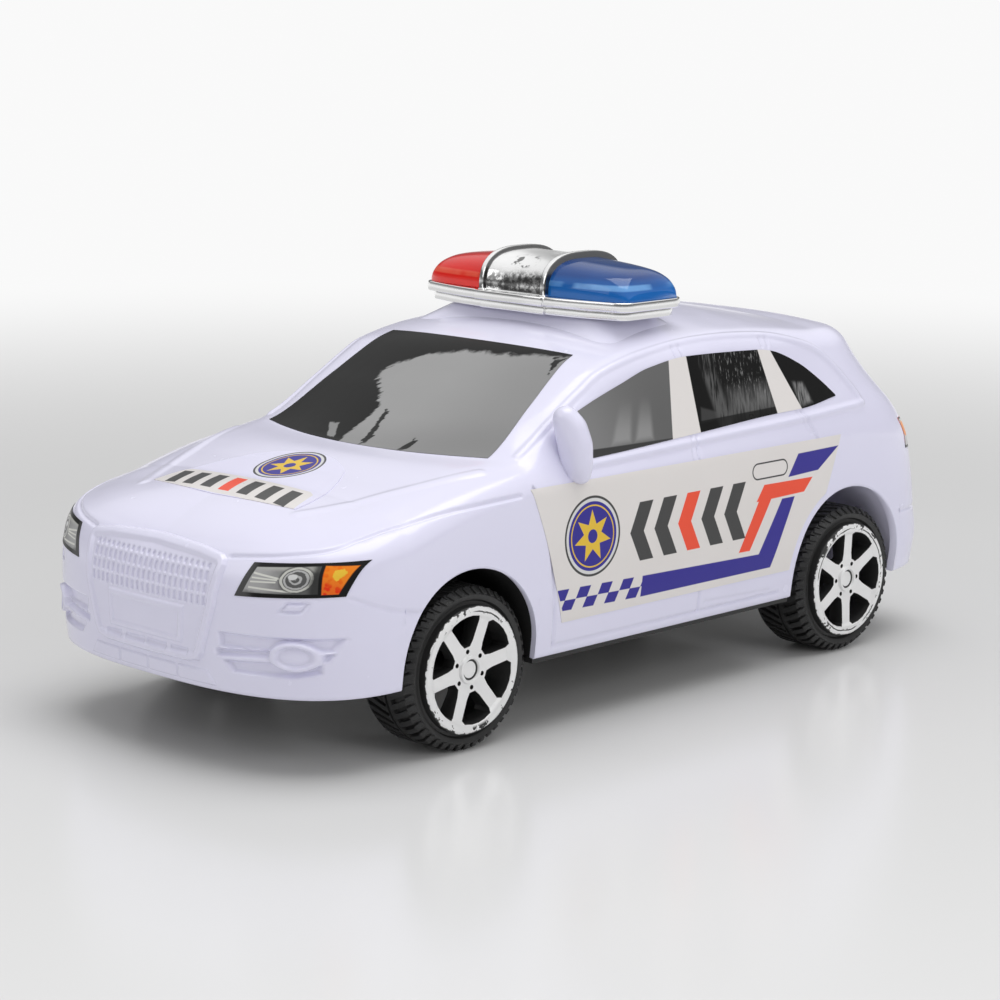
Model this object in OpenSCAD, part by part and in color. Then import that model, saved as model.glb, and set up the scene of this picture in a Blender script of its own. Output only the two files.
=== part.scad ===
// Toy police car with a friction drive under a one-piece moulded body.
// The front faces -Y, the car's left is +X, the wheels stand on Z 0. Millimetres.

/* [Overall] */
// Nose to front axle
front_overhang = 54; // [52:0.5:56]
// Rear axle to tail
rear_overhang = 45; // [43:0.5:47]
// Half of the width over the doors
half_width = 52.3; // [50:0.1:55]
// Height of the roof above the ground
roof_z = 91.3; // [88:0.1:95]
// Height of the waist line under the front side windows
belt_front_z = 61.3; // [60:0.1:63]
// How far the lower edge of the body lies below the axles
sill_drop = 0.9; // [0.5:0.1:1.4]
// Wall of the body moulding
wall = 1.8; // [1.4:0.1:2.4]

/* [Body lines] */
// Length of the rounded nose
nose_round = 34.5; // [32:0.5:37]
// Length of the rounded tail
tail_round = 47.5; // [45:0.5:50]
// Length of the straight fenders, from the rounded nose to the windscreen corners
bonnet_length = 38; // [36:0.5:40]
// Length of the windscreen, seen from above
screen_length = 34.5; // [33:0.5:36]
// Windscreen to the highest place of the roof
roof_front = 42.5; // [40:0.5:45]
// Highest place of the roof to the rounded tail
roof_rear = 42; // [40:0.5:44]
// Fall of the bonnet from the waist line to the grille
bonnet_fall = 9.7; // [9:0.1:11]
// Rise of the bonnet over the waist line at the windscreen
cowl_rise = 3; // [2.5:0.1:3.5]
// Fall of the roof to the windscreen
header_drop = 5.7; // [5:0.1:6.5]
// Rise of the waist line to the rear side windows
belt_rise = 3.7; // [3:0.1:4.5]
// Fall of the waist line to the tail
tail_fall = 2.8; // [2:0.1:3.5]
// Fall of the roof to its rear edge
spoiler_drop = 8; // [7:0.1:9]
// How far the roof edges lie inside the doors
rail_inset = 10.3; // [9.5:0.1:11]
// How far the windscreen foot bows forward in the middle
screen_bow = 8; // [6:0.5:10]
// How far the grille panel stands out
grille_proud = 0.9; // [0.6:0.1:1.4]
// Depth of the moulded panel lines
line_depth = 0.55; // [0.4:0.05:0.8]
// Width of the moulded panel lines
line_width = 0.8; // [0.6:0.1:1.2]

/* [Wheels] */
// Radius of the tyre
tyre_r = 19.2; // [18.6:0.1:19.6]
// Width of the tread
tread_w = 15.6; // [14:0.1:16.5]
// Height of the tyre wall outside the bright rim
sidewall = 4.3; // [3.8:0.1:4.8]
// How far the rim face stands out from the tread edge
rim_out = 1.9; // [1.2:0.1:2.4]
// How far the rim face lies inside the doors
wheel_inset = 1.2; // [0.8:0.1:1.8]
// Tread bars around each wheel
tread_bars = 46; // [40:2:52]
// Gap around the tyre in the front wheel opening
front_arch_gap = 2; // [1.6:0.1:2.4]
// Gap around the tyre in the rear wheel opening
rear_arch_gap = 3.4; // [3:0.1:3.8]

/* [Running gear] */
// Radius of the steel axles
axle_r = 1.5; // [1.3:0.05:1.7]
// Running clearance around shafts
run_gap = 0.06; // [0.03:0.01:0.1]
// Thickness of the chassis plate
chassis_t = 3; // [2.6:0.1:3.4]
// Tooth module of the gears
gear_module = 0.6; // [0.58:0.01:0.62]
// Teeth of the large gears
gear_teeth = 30; // [28:1:32]
// Teeth of the pinions
pinion_teeth = 10; // [10:1:11]
// Rise of the first gear centre line
first_rise = 20; // [16:1:24]
// Rise of the second gear centre line
second_rise = 25; // [22:1:28]
// Radius of the idler and flywheel shafts
pin_r = 1; // [0.9:0.05:1.1]
// Gap around the gears in the motor case
gear_gap = 0.6; // [0.5:0.05:0.8]
// Wall of the motor case
case_wall = 1.4; // [1.2:0.1:1.6]
// Radius of the screw shanks
screw_r = 1.2; // [1.1:0.05:1.3]

/* [Light bar] */
// Middle of the bar behind the car's middle
bar_y = 13; // [11:0.5:15]
// Half length of the flange
bar_half = 35.3; // [34:0.1:37]
// Half depth of the flange in the middle
bar_depth = 15.5; // [14:0.5:17]
// Half depth of the flange at its ends
bar_end_depth = 10.5; // [9:0.5:12]
// Height of the tray
tray_h = 2.2; // [1.8:0.1:2.6]
// Thickness of the flange
flange_t = 2.4; // [2:0.1:2.8]
// Height of the lenses at the middle
lens_h = 8.7; // [8:0.1:9.2]
// Height of the middle arch
arch_h = 10.4; // [10:0.1:11.5]
// Half width of the middle arch
arch_half = 11.5; // [10.5:0.1:12.5]
// Wall of the lenses
lens_wall = 1.2; // [1:0.1:1.5]
// Pegs that hold the bar on the roof
peg_r = 1.4; // [1.2:0.05:1.6]

/* [Labels] */
// Thickness of the printed labels
label_t = 0.2; // [0.15:0.05:0.3]
// Gap under the printed labels
label_gap = 0.15; // [0.12:0.01:0.18]

/* [Hidden] */
$fn = 48;

// Places along the car
car_length = nose_round + bonnet_length + screen_length + roof_front + roof_rear + tail_round;
nose_y = -car_length / 2;
tail_y = car_length / 2;
front_axle_y = nose_y + front_overhang;
rear_axle_y = tail_y - rear_overhang;
fan_front_y = nose_y + nose_round;
fan_rear_y = tail_y - tail_round;
cowl_y = fan_front_y + bonnet_length;
header_y = cowl_y + screen_length;
crown_y = header_y + roof_front;
axle_z = tyre_r;
// Heights and half widths
sill_z = axle_z - sill_drop;
nose_top_z = belt_front_z - bonnet_fall;
cowl_z = belt_front_z + cowl_rise;
belt_rear_z = belt_front_z + belt_rise;
tail_belt_z = belt_front_z - tail_fall;
header_z = roof_z - header_drop;
spoiler_z = roof_z - spoiler_drop;
rail_half = half_width - rail_inset;
rim_r = tyre_r - sidewall;
wheel_face_x = half_width - wheel_inset;
front_arch_r = tyre_r + front_arch_gap;
rear_arch_r = tyre_r + rear_arch_gap;
chassis_bottom_z = sill_z - chassis_t;
tray_z = roof_z + 0.2;
flange_z = tray_z + tray_h;
lens_z = flange_z + flange_t;
nose_reach = nose_round - grille_proud;
tail_reach = tail_round;
nose_power = 2.8;
tail_power = 4;
rail_power = 3;
// The wheel openings sit a little ahead of the axles, low down
front_arch_y = front_axle_y - 1.1;
rear_arch_y = rear_axle_y - 2.3;
arch_z = axle_z + 2.6;
well_gap = 3.6;
well_x = wheel_face_x - rim_out - tread_w - well_gap;

// Smooth curve through a short list of places
function slope(p, i) = (p[i + 1][1] - p[i][1]) / (p[i + 1][0] - p[i][0]);
function tangent(p, i) = i == 0 ? slope(p, 0) : i == len(p) - 1 ? slope(p, i - 1) :
    let(a = slope(p, i - 1), b = slope(p, i)) a * b <= 0 ? 0 : 2 * a * b / (a + b);
function bend(p, i, t) = let(d = p[i + 1][0] - p[i][0], u = (t - p[i][0]) / d)
    p[i][1] * (1 + 2 * u) * (1 - u) * (1 - u) + tangent(p, i) * d * u * (1 - u) * (1 - u)
    + p[i + 1][1] * u * u * (3 - 2 * u) - tangent(p, i + 1) * d * u * u * (1 - u);
function fair(p, t, i = 0) = t <= p[0][0] ? p[0][1] : t >= p[len(p) - 1][0] ? p[len(p) - 1][1] :
    t <= p[i + 1][0] ? bend(p, i, t) : fair(p, t, i + 1);
function mix(a, b, t) = a + (b - a) * t;
function steps(a, b, n) = [for (i = [0:n - 1]) mix(a, b, i / n)];

// Heights of the lines that run along the car
fan_mid_y = mix(nose_y, fan_front_y, 0.58);
tail_mid_y = mix(fan_rear_y, tail_y, 0.505);
fender_y = mix(fan_front_y, cowl_y, 0.513);
bonnet_y = mix(fan_front_y, cowl_y, 0.37);
plenum_y = mix(fan_front_y, cowl_y, 0.71);
screen_y = mix(cowl_y, header_y, 0.55);
shoulder_line = [[nose_y, mix(sill_z, nose_top_z, 0.772)], [fan_mid_y, mix(sill_z, nose_top_z, 0.787)],
    [fan_front_y, nose_top_z - 2.6], [fender_y, belt_front_z - 7.3],
    [cowl_y, belt_front_z - 4.8], [crown_y, belt_front_z - 3.6], [fan_rear_y, belt_rear_z - 8],
    [tail_mid_y, tail_belt_z - 6.5], [tail_y, tail_belt_z - 10.5]];
belt_line = [[nose_y, nose_top_z - 3.3], [fan_mid_y, nose_top_z - 2.1],
    [fan_front_y, nose_top_z + 2.2], [fender_y, belt_front_z - 2.3], [cowl_y, belt_front_z],
    [crown_y, mix(belt_front_z, belt_rear_z, 0.568)], [fan_rear_y, belt_rear_z],
    [tail_mid_y, tail_belt_z + 3], [tail_y, tail_belt_z]];
rail_line = [[nose_y, nose_top_z], [fan_mid_y, mix(nose_top_z, cowl_z, 0.094)],
    [mix(nose_y, fan_front_y, 0.783), mix(nose_top_z, cowl_z, 0.205)],
    [fan_front_y, mix(nose_top_z, cowl_z, 0.441)], [bonnet_y, mix(nose_top_z, cowl_z, 0.701)],
    [plenum_y, mix(nose_top_z, cowl_z, 0.898)], [cowl_y, cowl_z], [screen_y, mix(cowl_z, header_z, 0.474)],
    [mix(cowl_y, header_y, 0.742), mix(cowl_z, header_z, 0.667)],
    [mix(cowl_y, header_y, 0.942), mix(cowl_z, header_z, 0.836)],
    [mix(header_y, crown_y, 0.289), header_z - 0.5], [crown_y, roof_z - 4.6],
    [mix(crown_y, fan_rear_y, 0.357), roof_z - 5.3], [mix(crown_y, fan_rear_y, 0.667), spoiler_z + 1.7],
    [fan_rear_y, spoiler_z + 0.5], [tail_y, spoiler_z]];
spine_line = [[fan_front_y, mix(nose_top_z, cowl_z, 0.591)], [bonnet_y, mix(nose_top_z, cowl_z, 0.795)],
    [plenum_y, mix(nose_top_z, cowl_z, 0.929)], [cowl_y - 1.5, cowl_z - 0.2], [cowl_y + 1, cowl_z + 0.8],
    [screen_y, mix(cowl_z, header_z, 0.559)], [header_y, header_z],
    [mix(header_y, crown_y, 0.294), mix(header_z, roof_z, 0.614)],
    [mix(header_y, crown_y, 0.635), mix(header_z, roof_z, 0.912)], [crown_y, roof_z],
    [mix(crown_y, fan_rear_y, 0.357), roof_z - 0.4], [mix(crown_y, fan_rear_y, 0.643), roof_z - 1.8],
    [fan_rear_y, roof_z - 4.2]];
rail_width = [[fan_front_y, rail_half - 2], [plenum_y, rail_half - 0.5],
    [cowl_y, rail_half + 1.5], [screen_y, rail_half + 1.3], [mix(header_y, crown_y, 0.282), rail_half],
    [fan_rear_y, rail_half - 0.5]];
header_bow = 3;
bow_line = [[mix(fan_front_y, cowl_y, 0.263), 0], [cowl_y, -screen_bow], [screen_y, -screen_bow * 0.7],
    [header_y, -header_bow], [mix(header_y, crown_y, 0.518), 0]];

// Outline of the body in plan: rounded nose, straight sides, rounded tail
function reach(a, b, n, turn) = pow(pow(sin(turn) / a, n) + pow(cos(turn) / b, n), -1 / n);
function plan(a, nose, tail, power, s) =
    s < fan_front_y ? let(turn = 90 * (s - nose_y) / nose_round, r = reach(a, nose, nose_power, turn))
        [r * sin(turn), fan_front_y - r * cos(turn)] :
    s > fan_rear_y ? let(turn = 90 * (tail_y - s) / tail_round, r = reach(a, tail, power, turn))
        [r * sin(turn), fan_rear_y + r * cos(turn)] : [a, s];
function point(p, z) = [p[0], p[1], z];

// A corner rounded by a short curve
function corner(before, at, after, size, n) =
    let(a = norm(before - at), b = norm(after - at),
        p = at + (before - at) * min(size, a * 0.45) / a, q = at + (after - at) * min(size, b * 0.45) / b)
    [for (i = [0:n]) let(t = i / n) p * (1 - t) * (1 - t) + at * 2 * t * (1 - t) + q * t * t];

// One section of the body from the lower edge to the middle of the roof
roof_steps = [0.16, 0.36, 0.58, 0.8];
low_z = mix(sill_z, nose_top_z, 0.261);
mid_z = mix(sill_z, nose_top_z, 0.441);
wide_z = mix(sill_z, nose_top_z, 0.622);
function section(s, off, foot) =
    let(spine = [0, min(max(s, fan_front_y), fan_rear_y)],
        side_z = fair(rail_line, s) - off, top_z = fair(spine_line, s) - off, bow = fair(bow_line, s),
        side = half_width - off, nose = nose_reach - off, tail = tail_reach - off, power = tail_power,
        keel = point(plan(side - 1.3, nose - 0.6, tail - 0.9, power, s), foot),
        low = point(plan(side - 0.3, nose, tail, power, s), low_z),
        mid = point(plan(side, nose + 0.1, tail - 1.6, power, s), mid_z),
        wide = point(plan(side, nose, tail - 2.7, power, s), wide_z),
        shoulder = point(plan(side - 0.7, nose - 1, tail - 6.2, power, s), fair(shoulder_line, s) - off * 0.2),
        belt = point(plan(side - 2.8, nose - 3.2, tail - 11.5, power, s), fair(belt_line, s) - off * 0.4),
        rail = point(plan(fair(rail_width, s) - off, nose - 7, tail - 28.5, rail_power, s), side_z),
        top = [for (t = roof_steps) let(p = mix([rail[0], rail[1]], spine, t))
            [p[0], p[1] + bow * (1 - (1 - t) * (1 - t)), mix(side_z, top_z, 1 - pow(1 - t, 2.2))]])
    concat([keel, low, mid, wide, shoulder], corner(shoulder, belt, rail, 3.2, 2),
        [mix(belt, rail, 0.5)], corner(belt, rail, top[0], 5, 3), top,
        [[0, spine[1] + bow, top_z]]);

// Stations along the car, closer together where the shape turns
front_stations = steps(nose_y, fan_front_y, 11);
middle_stations = concat(steps(fan_front_y, cowl_y - 5, 6), steps(cowl_y - 5, cowl_y + 5, 4),
    steps(cowl_y + 5, header_y + 4, 7), steps(header_y + 4, fan_rear_y, 8));
rear_stations = concat(steps(fan_rear_y, tail_y, 12), [tail_y]);
stations = concat(front_stations, middle_stations, rear_stations);
first_spine = len(front_stations);
last_spine = first_spine + len(middle_stations);
coarse_stations = concat(steps(nose_y, fan_front_y, 6), steps(fan_front_y, cowl_y - 3, 3),
    steps(cowl_y - 3, header_y + 4, 5), steps(header_y + 4, fan_rear_y, 4),
    steps(fan_rear_y, tail_y, 7), [tail_y]);
// Rows of the cavity, fewer than those of the outside
inner_rows = [0, 2, 4, 6, 8, 10, 12, 14, 16];

// Closed body solid, moved in by off
module car_solid(off, foot, at, first, last, keep) {
    rows = [for (s = at) let(row = section(s, off, foot)) [for (i = keep) row[i]]];
    n = len(at);
    m = len(rows[0]) - 1;
    round_count = 2 * (n - 1);
    function flip(p) = [-p[0], p[1], p[2]];
    ring = [for (j = [0:m - 1]) each [for (k = [0:round_count - 1])
        k < n ? rows[k][j] : flip(rows[round_count - k][j])]];
    spine = [for (i = [first:last]) rows[i][m]];
    function place(j, k) = j * round_count + k % round_count;
    function spine_place(k) = let(i = k % round_count < n ? k % round_count : round_count - k % round_count)
        m * round_count + min(max(i, first), last) - first;
    walls = [for (j = [0:m - 2]) for (k = [0:round_count - 1])
        each [[place(j, k), place(j + 1, k), place(j + 1, k + 1)],
            [place(j, k), place(j + 1, k + 1), place(j, k + 1)]]];
    lid = [for (k = [0:round_count - 1]) let(p = spine_place(k), q = spine_place(k + 1))
        each (p == q ? [[place(m - 1, k), p, place(m - 1, k + 1)]] :
            [[place(m - 1, k), p, q], [place(m - 1, k), q, place(m - 1, k + 1)]])];
    polyhedron(concat(ring, spine), concat(walls, lid, [[for (k = [0:round_count - 1]) k]]), convexity = 8);
}
module skin_solid(off) car_solid(off, sill_z, stations, first_spine, last_spine, [0:17]);
module cavity_solid() car_solid(wall, sill_z - 1, coarse_stations, 6, 18, inner_rows);

// Where the body surface lies
function at_height(row, z, j = 0) = j >= len(row) - 2 || row[j + 1][2] >= z ?
    mix(row[j], row[j + 1], (z - row[j][2]) / (row[j + 1][2] - row[j][2])) : at_height(row, z, j + 1);
function side_point(y, z, off) = at_height(section(y, off, sill_z), z);
function end_station(x, z, off, small, large, n) = n == 0 ? (small + large) / 2 :
    let(s = (small + large) / 2) at_height(section(s, off, sill_z), z)[0] < x ?
        end_station(x, z, off, s, large, n - 1) : end_station(x, z, off, small, s, n - 1);
function nose_point(x, z, off) =
    at_height(section(end_station(x, z, off, nose_y, front_axle_y, 14), off, sill_z), z);
function tail_point(x, z, off) =
    at_height(section(end_station(x, z, off, tail_y, fan_rear_y - 20, 14), off, sill_z), z);
function row_reach(row, s, i) = norm([row[i][0], row[i][1] - min(max(s, fan_front_y), fan_rear_y)]);
function across(row, s, r, i) = i <= 1 || abs(row[i - 1][0]) >= r ?
    let(a = abs(row[i][0]), b = abs(row[i - 1][0])) mix(row[i][2], row[i - 1][2], (r - a) / (b - a)) :
    across(row, s, r, i - 1);
function fan_across(row, s, r, i) = i <= 1 || row_reach(row, s, i - 1) >= r ?
    let(a = row_reach(row, s, i), b = row_reach(row, s, i - 1))
        mix(row[i][2], row[i - 1][2], (r - a) / (b - a)) :
    fan_across(row, s, r, i - 1);
function unbow(x, y, s, n) = n == 0 ? s :
    unbow(x, y, y - fair(bow_line, s) * (1 - pow(x / fair(rail_width, s), 2)), n - 1);
function top_z(x, y, off) = y < fan_front_y ?
    let(s = nose_y + nose_round * atan2(abs(x), fan_front_y - y) / 90, row = section(s, off, sill_z))
        fan_across(row, s, norm([x, fan_front_y - y]), len(row) - 1) :
    let(s = unbow(x, y, y, 6), row = section(s, off, sill_z)) across(row, s, abs(x), len(row) - 1);

// A thin sheet between two grids of points, the outer one first
module sheet(outer, inner) {
    n = len(outer);
    m = len(outer[0]);
    function o(i, j) = i * m + j;
    function u(i, j) = n * m + i * m + j;
    faces = concat(
        [for (i = [0:n - 2]) for (j = [0:m - 2]) each [[o(i, j), o(i, j + 1), o(i + 1, j + 1)],
            [o(i, j), o(i + 1, j + 1), o(i + 1, j)]]],
        [for (i = [0:n - 2]) for (j = [0:m - 2]) each [[u(i, j), u(i + 1, j + 1), u(i, j + 1)],
            [u(i, j), u(i + 1, j), u(i + 1, j + 1)]]],
        [for (i = [0:n - 2]) each [[o(i, 0), o(i + 1, 0), u(i + 1, 0)], [o(i, 0), u(i + 1, 0), u(i, 0)],
            [o(i, m - 1), u(i, m - 1), u(i + 1, m - 1)], [o(i, m - 1), u(i + 1, m - 1), o(i + 1, m - 1)]]],
        [for (j = [0:m - 2]) each [[o(0, j), u(0, j), u(0, j + 1)], [o(0, j), u(0, j + 1), o(0, j + 1)],
            [o(n - 1, j), o(n - 1, j + 1), u(n - 1, j + 1)], [o(n - 1, j), u(n - 1, j + 1), u(n - 1, j)]]]);
    polyhedron(concat([for (r = outer) each r], [for (r = inner) each r]), faces, convexity = 4);
}

// Outlines that lie on the body, seen from the side, from the front and from above
module strip(points, w) {
    for (i = [0:len(points) - 2]) hull() {
        translate(points[i]) circle(d = w, $fn = 8);
        translate(points[i + 1]) circle(d = w, $fn = 8);
    }
}
module from_sides() rotate([90, 0, 90]) linear_extrude(140, center = true) children();
module from_front() translate([0, nose_y + 40, 0]) rotate([90, 0, 0]) linear_extrude(60) children();
module both_sides() {
    children();
    mirror([1, 0, 0]) children();
}
module both_2d() {
    children();
    mirror([1, 0]) children();
}

// Door edges in side view
door_foot_z = sill_z + 2.1;
front_door = [[cowl_y + 1, belt_front_z - 2.3], [cowl_y + 5.3, mix(sill_z, belt_front_z, 0.621)],
    [cowl_y + 6.9, mix(sill_z, belt_front_z, 0.365)], [cowl_y + 7.6, door_foot_z], [cowl_y + 12, door_foot_z]];
door_foot = [[cowl_y + 12, door_foot_z], [rear_arch_y - rear_arch_r - 5, door_foot_z]];
middle_gap_y = mix(header_y, crown_y, 0.612);
rear_door_top = [[rear_arch_y - 14.2, belt_rear_z], [rear_arch_y - 10.2, belt_rear_z - 9],
    [rear_arch_y - 9.7, arch_z + rear_arch_r + 1.6]];
module side_lines() {
    strip(front_door, line_width);
    strip(door_foot, line_width);
    strip([[middle_gap_y, door_foot_z], [middle_gap_y, belt_front_z + 1.6]], line_width);
    strip(rear_door_top, line_width);
}
// Grille, number plate, lower intake and fog lamps seen from the front
grille_half = 23;
grille_foot_half = 18.3;
grille_top_z = nose_top_z - 3.9;
grille_foot_z = mix(sill_z, nose_top_z, 0.186);
module grille_outline() polygon(concat(
    [[-grille_foot_half, grille_foot_z], [grille_foot_half, grille_foot_z]],
    [for (i = [0:8]) let(u = 1 - i / 4) [grille_half * u, grille_top_z + 2.4 * (1 - u * u)]]));
module grille_slots() for (d = [2.4, 5.2, 7.6, 9.9])
    translate([0, grille_top_z - d]) square([2 * grille_half - 5 - d * 0.3, 1.3], center = true);
fog_x = half_width - 12.9;
fog_z = low_z + 0.7;
module fog_slots() both_2d() {
    for (z = [-3.2, 0, 3.2]) hull() {
        translate([fog_x - 13, fog_z + z]) circle(d = 1.9, $fn = 10);
        translate([fog_x + 6, fog_z + z]) circle(d = 1.9, $fn = 10);
    }
}
module fog_rings() both_2d() translate([fog_x, fog_z]) circle(r = 3.1, $fn = 16);

// Door mirror on the left, moulded with the body
mirror_y = cowl_y + 11.5;
module mirror_solid(grow = 0) hull() {
    translate([half_width - 3.7, mirror_y + 2.4, belt_front_z + 11.9]) sphere(r = 3 + grow, $fn = 14);
    translate([half_width - 0.9, mirror_y + 3.7, belt_front_z + 5.8]) sphere(r = 3.3 + grow, $fn = 14);
    translate([half_width - 0.4, mirror_y + 3.9, belt_front_z + 1.3]) sphere(r = 2.8 + grow, $fn = 12);
    translate([half_width - 2.6, mirror_y + 3.5, belt_front_z - 1]) sphere(r = 1.9 + grow, $fn = 12);
}

// Raised pad under the light bar
pad_half = 26;
pad_depth = 10;
module roof_pad() translate([0, bar_y, tray_z - 6]) linear_extrude(6) offset(r = 3, $fn = 16)
    square([2 * pad_half - 6, 2 * pad_depth - 6], center = true);

// Screw posts inside the shell
post_x = half_width - 23.3;
front_post = [post_x, fan_front_y - 11];
rear_post = [post_x, rear_arch_y + rear_arch_r + 6.5];
module posts(r, h) for (p = [front_post, rear_post]) for (x = [-1, 1])
    translate([x * p[0], p[1], sill_z]) cylinder(r = r, h = h, $fn = 24);

// Round openings for the wheels
module openings(grow, inner, length) for (w = [[front_arch_y, front_arch_r], [rear_arch_y, rear_arch_r]])
    for (x = [-1, 1]) translate([x * (inner + length / 2), w[0], arch_z]) rotate([0, 90, 0])
        cylinder(r = w[1] + grow, h = length, center = true, $fn = 64);
module axle_slots() for (y = [front_axle_y, rear_axle_y]) for (x = [-1, 1])
    translate([x * (well_x - 1), y, axle_z - 4]) cube([12, 9, 16], center = true);

module body_shell() color([0.9, 0.9, 0.95]) difference() {
    union() {
        difference() {
            skin_solid(0);
            cavity_solid();
        }
        intersection() {
            skin_solid(wall / 2);
            union() {
                openings(wall, well_x - wall, 40);
                posts(3.2, 60);
            }
        }
        intersection() {
            skin_solid(-grille_proud);
            union() {
                from_front() grille_outline();
            }
            translate([0, nose_y + 1, 40]) cube([60, 14, 40], center = true);
        }
        intersection() {
            difference() {
                skin_solid(-0.45);
                skin_solid(0.4);
            }
            union() {
                from_front() fog_rings();
            }
        }
        mirror_solid();
        difference() {
            roof_pad();
            skin_solid(wall / 2);
        }
    }
    openings(0, well_x, 40);
    axle_slots();
    posts(screw_r + 0.05, 14);
    cavity_guard();
    for (x = [-1, 1]) translate([x * 12, bar_y, roof_z - 8]) cylinder(r = peg_r + run_gap, h = 12, $fn = 24);
    intersection() {
        difference() {
            skin_solid(-1.2);
            skin_solid(line_depth);
        }
        union() {
            from_sides() side_lines();
            from_front() fog_slots();
        }
    }
    intersection() {
        difference() {
            skin_solid(-grille_proud - 1);
            skin_solid(0.2);
        }
        from_front() grille_slots();
    }
}
// Keeps the mirror out of the cavity
module cavity_guard() intersection() {
    cavity_solid();
    translate([half_width - 12, mirror_y + 2, belt_front_z + 5]) cube([20, 20, 20], center = true);
}

// Chassis plate with axle posts and a window for the motor case
lug_x = well_x - 9;
lug_w = 4;
lug_l = 9;
lug_top = axle_z + axle_r + 2.4;
// The plate is full width between the wheels, and narrow under the nose and the tail;
// its full width is a thin strip, stepped down to the thick plate further in
strip_t = chassis_t * 0.4;
strip_inset = half_width * 0.19;
chassis_end_half = post_x + 9;
chassis_edge = [for (s = concat(front_stations, middle_stations, rear_stations))
    plan(chassis_end_half, nose_reach - 15, tail_reach - 8.5, tail_power, s)];
module chassis_plan(inset = 0) difference() {
    union() {
        polygon(concat(chassis_edge,
            [for (i = [len(chassis_edge) - 2:-1:1]) [-chassis_edge[i][0], chassis_edge[i][1]]]));
        translate([0, (front_arch_y + rear_arch_y) / 2])
            square([2 * (half_width - inset) - 4.2, rear_arch_y - front_arch_y], center = true);
    }
    for (w = [[front_arch_y, front_arch_r], [rear_arch_y, rear_arch_r]]) for (x = [-1, 1])
        translate([x * (well_x + 30), w[0]]) square([60 + 2 * wall, 2 * (w[1] + 0.2)], center = true);
    translate([0, case_middle_y]) square([2 * (case_half + 0.5), case_length + 1], center = true);
}
module chassis() color([0.06, 0.06, 0.065]) difference() {
    union() {
        translate([0, 0, chassis_bottom_z]) linear_extrude(chassis_t - strip_t) chassis_plan(strip_inset);
        translate([0, 0, sill_z - strip_t]) linear_extrude(strip_t) chassis_plan();
        for (x = [-1, 1]) translate([x * lug_x, front_axle_y, (sill_z + lug_top) / 2 - 0.5])
            cube([lug_w, lug_l, lug_top - sill_z + 1], center = true);
    }
    translate([0, front_axle_y, axle_z]) rotate([0, 90, 0])
        cylinder(r = axle_r + run_gap, h = 120, center = true);
    translate([0, front_axle_y, axle_z]) rotate([0, 90, 0])
        cylinder(r = axle_r + 0.8, h = 2 * (lug_x - lug_w / 2), center = true);
    for (x = [-1, 1]) translate([x * (lug_x + lug_w / 2 + 10), front_axle_y, axle_z]) rotate([0, 90, 0])
        cylinder(r = axle_r + 0.8, h = 20, center = true);
    translate([0, rear_axle_y, axle_z]) rotate([0, 90, 0])
        cylinder(r = axle_r + 0.8, h = 2 * (well_x + 4), center = true);
    for (p = [front_post, rear_post]) for (x = [-1, 1]) translate([x * p[0], p[1], chassis_bottom_z - 1]) {
        cylinder(r = screw_r + 0.15, h = 6);
        cylinder(r = head_r + 0.3, h = 1 + head_h + 0.2);
    }
    for (y = case_tabs) translate([0, y, chassis_bottom_z - 1]) {
        cylinder(r = screw_r + 0.15, h = 6);
        cylinder(r = head_r + 0.3, h = 1 + head_h + 0.2);
    }
}

// Screws, with a cross slot in each head
head_r = 2.5;
head_h = 1.4;
module screw(length) difference() {
    union() {
        cylinder(r = head_r, h = head_h);
        cylinder(r = screw_r, h = length);
    }
    for (a = [0, 90]) rotate(a) translate([0, 0, 0.2]) cube([3.2, 0.7, 1], center = true);
}
module chassis_screws() color([0.6, 0.6, 0.62]) for (p = [front_post, rear_post]) for (x = [-1, 1])
    translate([x * p[0], p[1], chassis_bottom_z + 0.2]) screw(13);
module motor_screws() color([0.6, 0.6, 0.62]) for (y = case_tabs)
    translate([0, y, chassis_bottom_z + 0.2]) screw(7);

// Axles and wheels
hub_depth = 7;
axle_half = wheel_face_x - 3;
module front_axle() color([0.7, 0.7, 0.72]) translate([0, front_axle_y, axle_z]) rotate([0, 90, 0])
    cylinder(r = axle_r, h = 2 * axle_half, center = true);
module rear_axle() color([0.7, 0.7, 0.72]) translate([0, rear_axle_y, axle_z]) rotate([0, 90, 0])
    cylinder(r = axle_r, h = 2 * axle_half, center = true);

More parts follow.
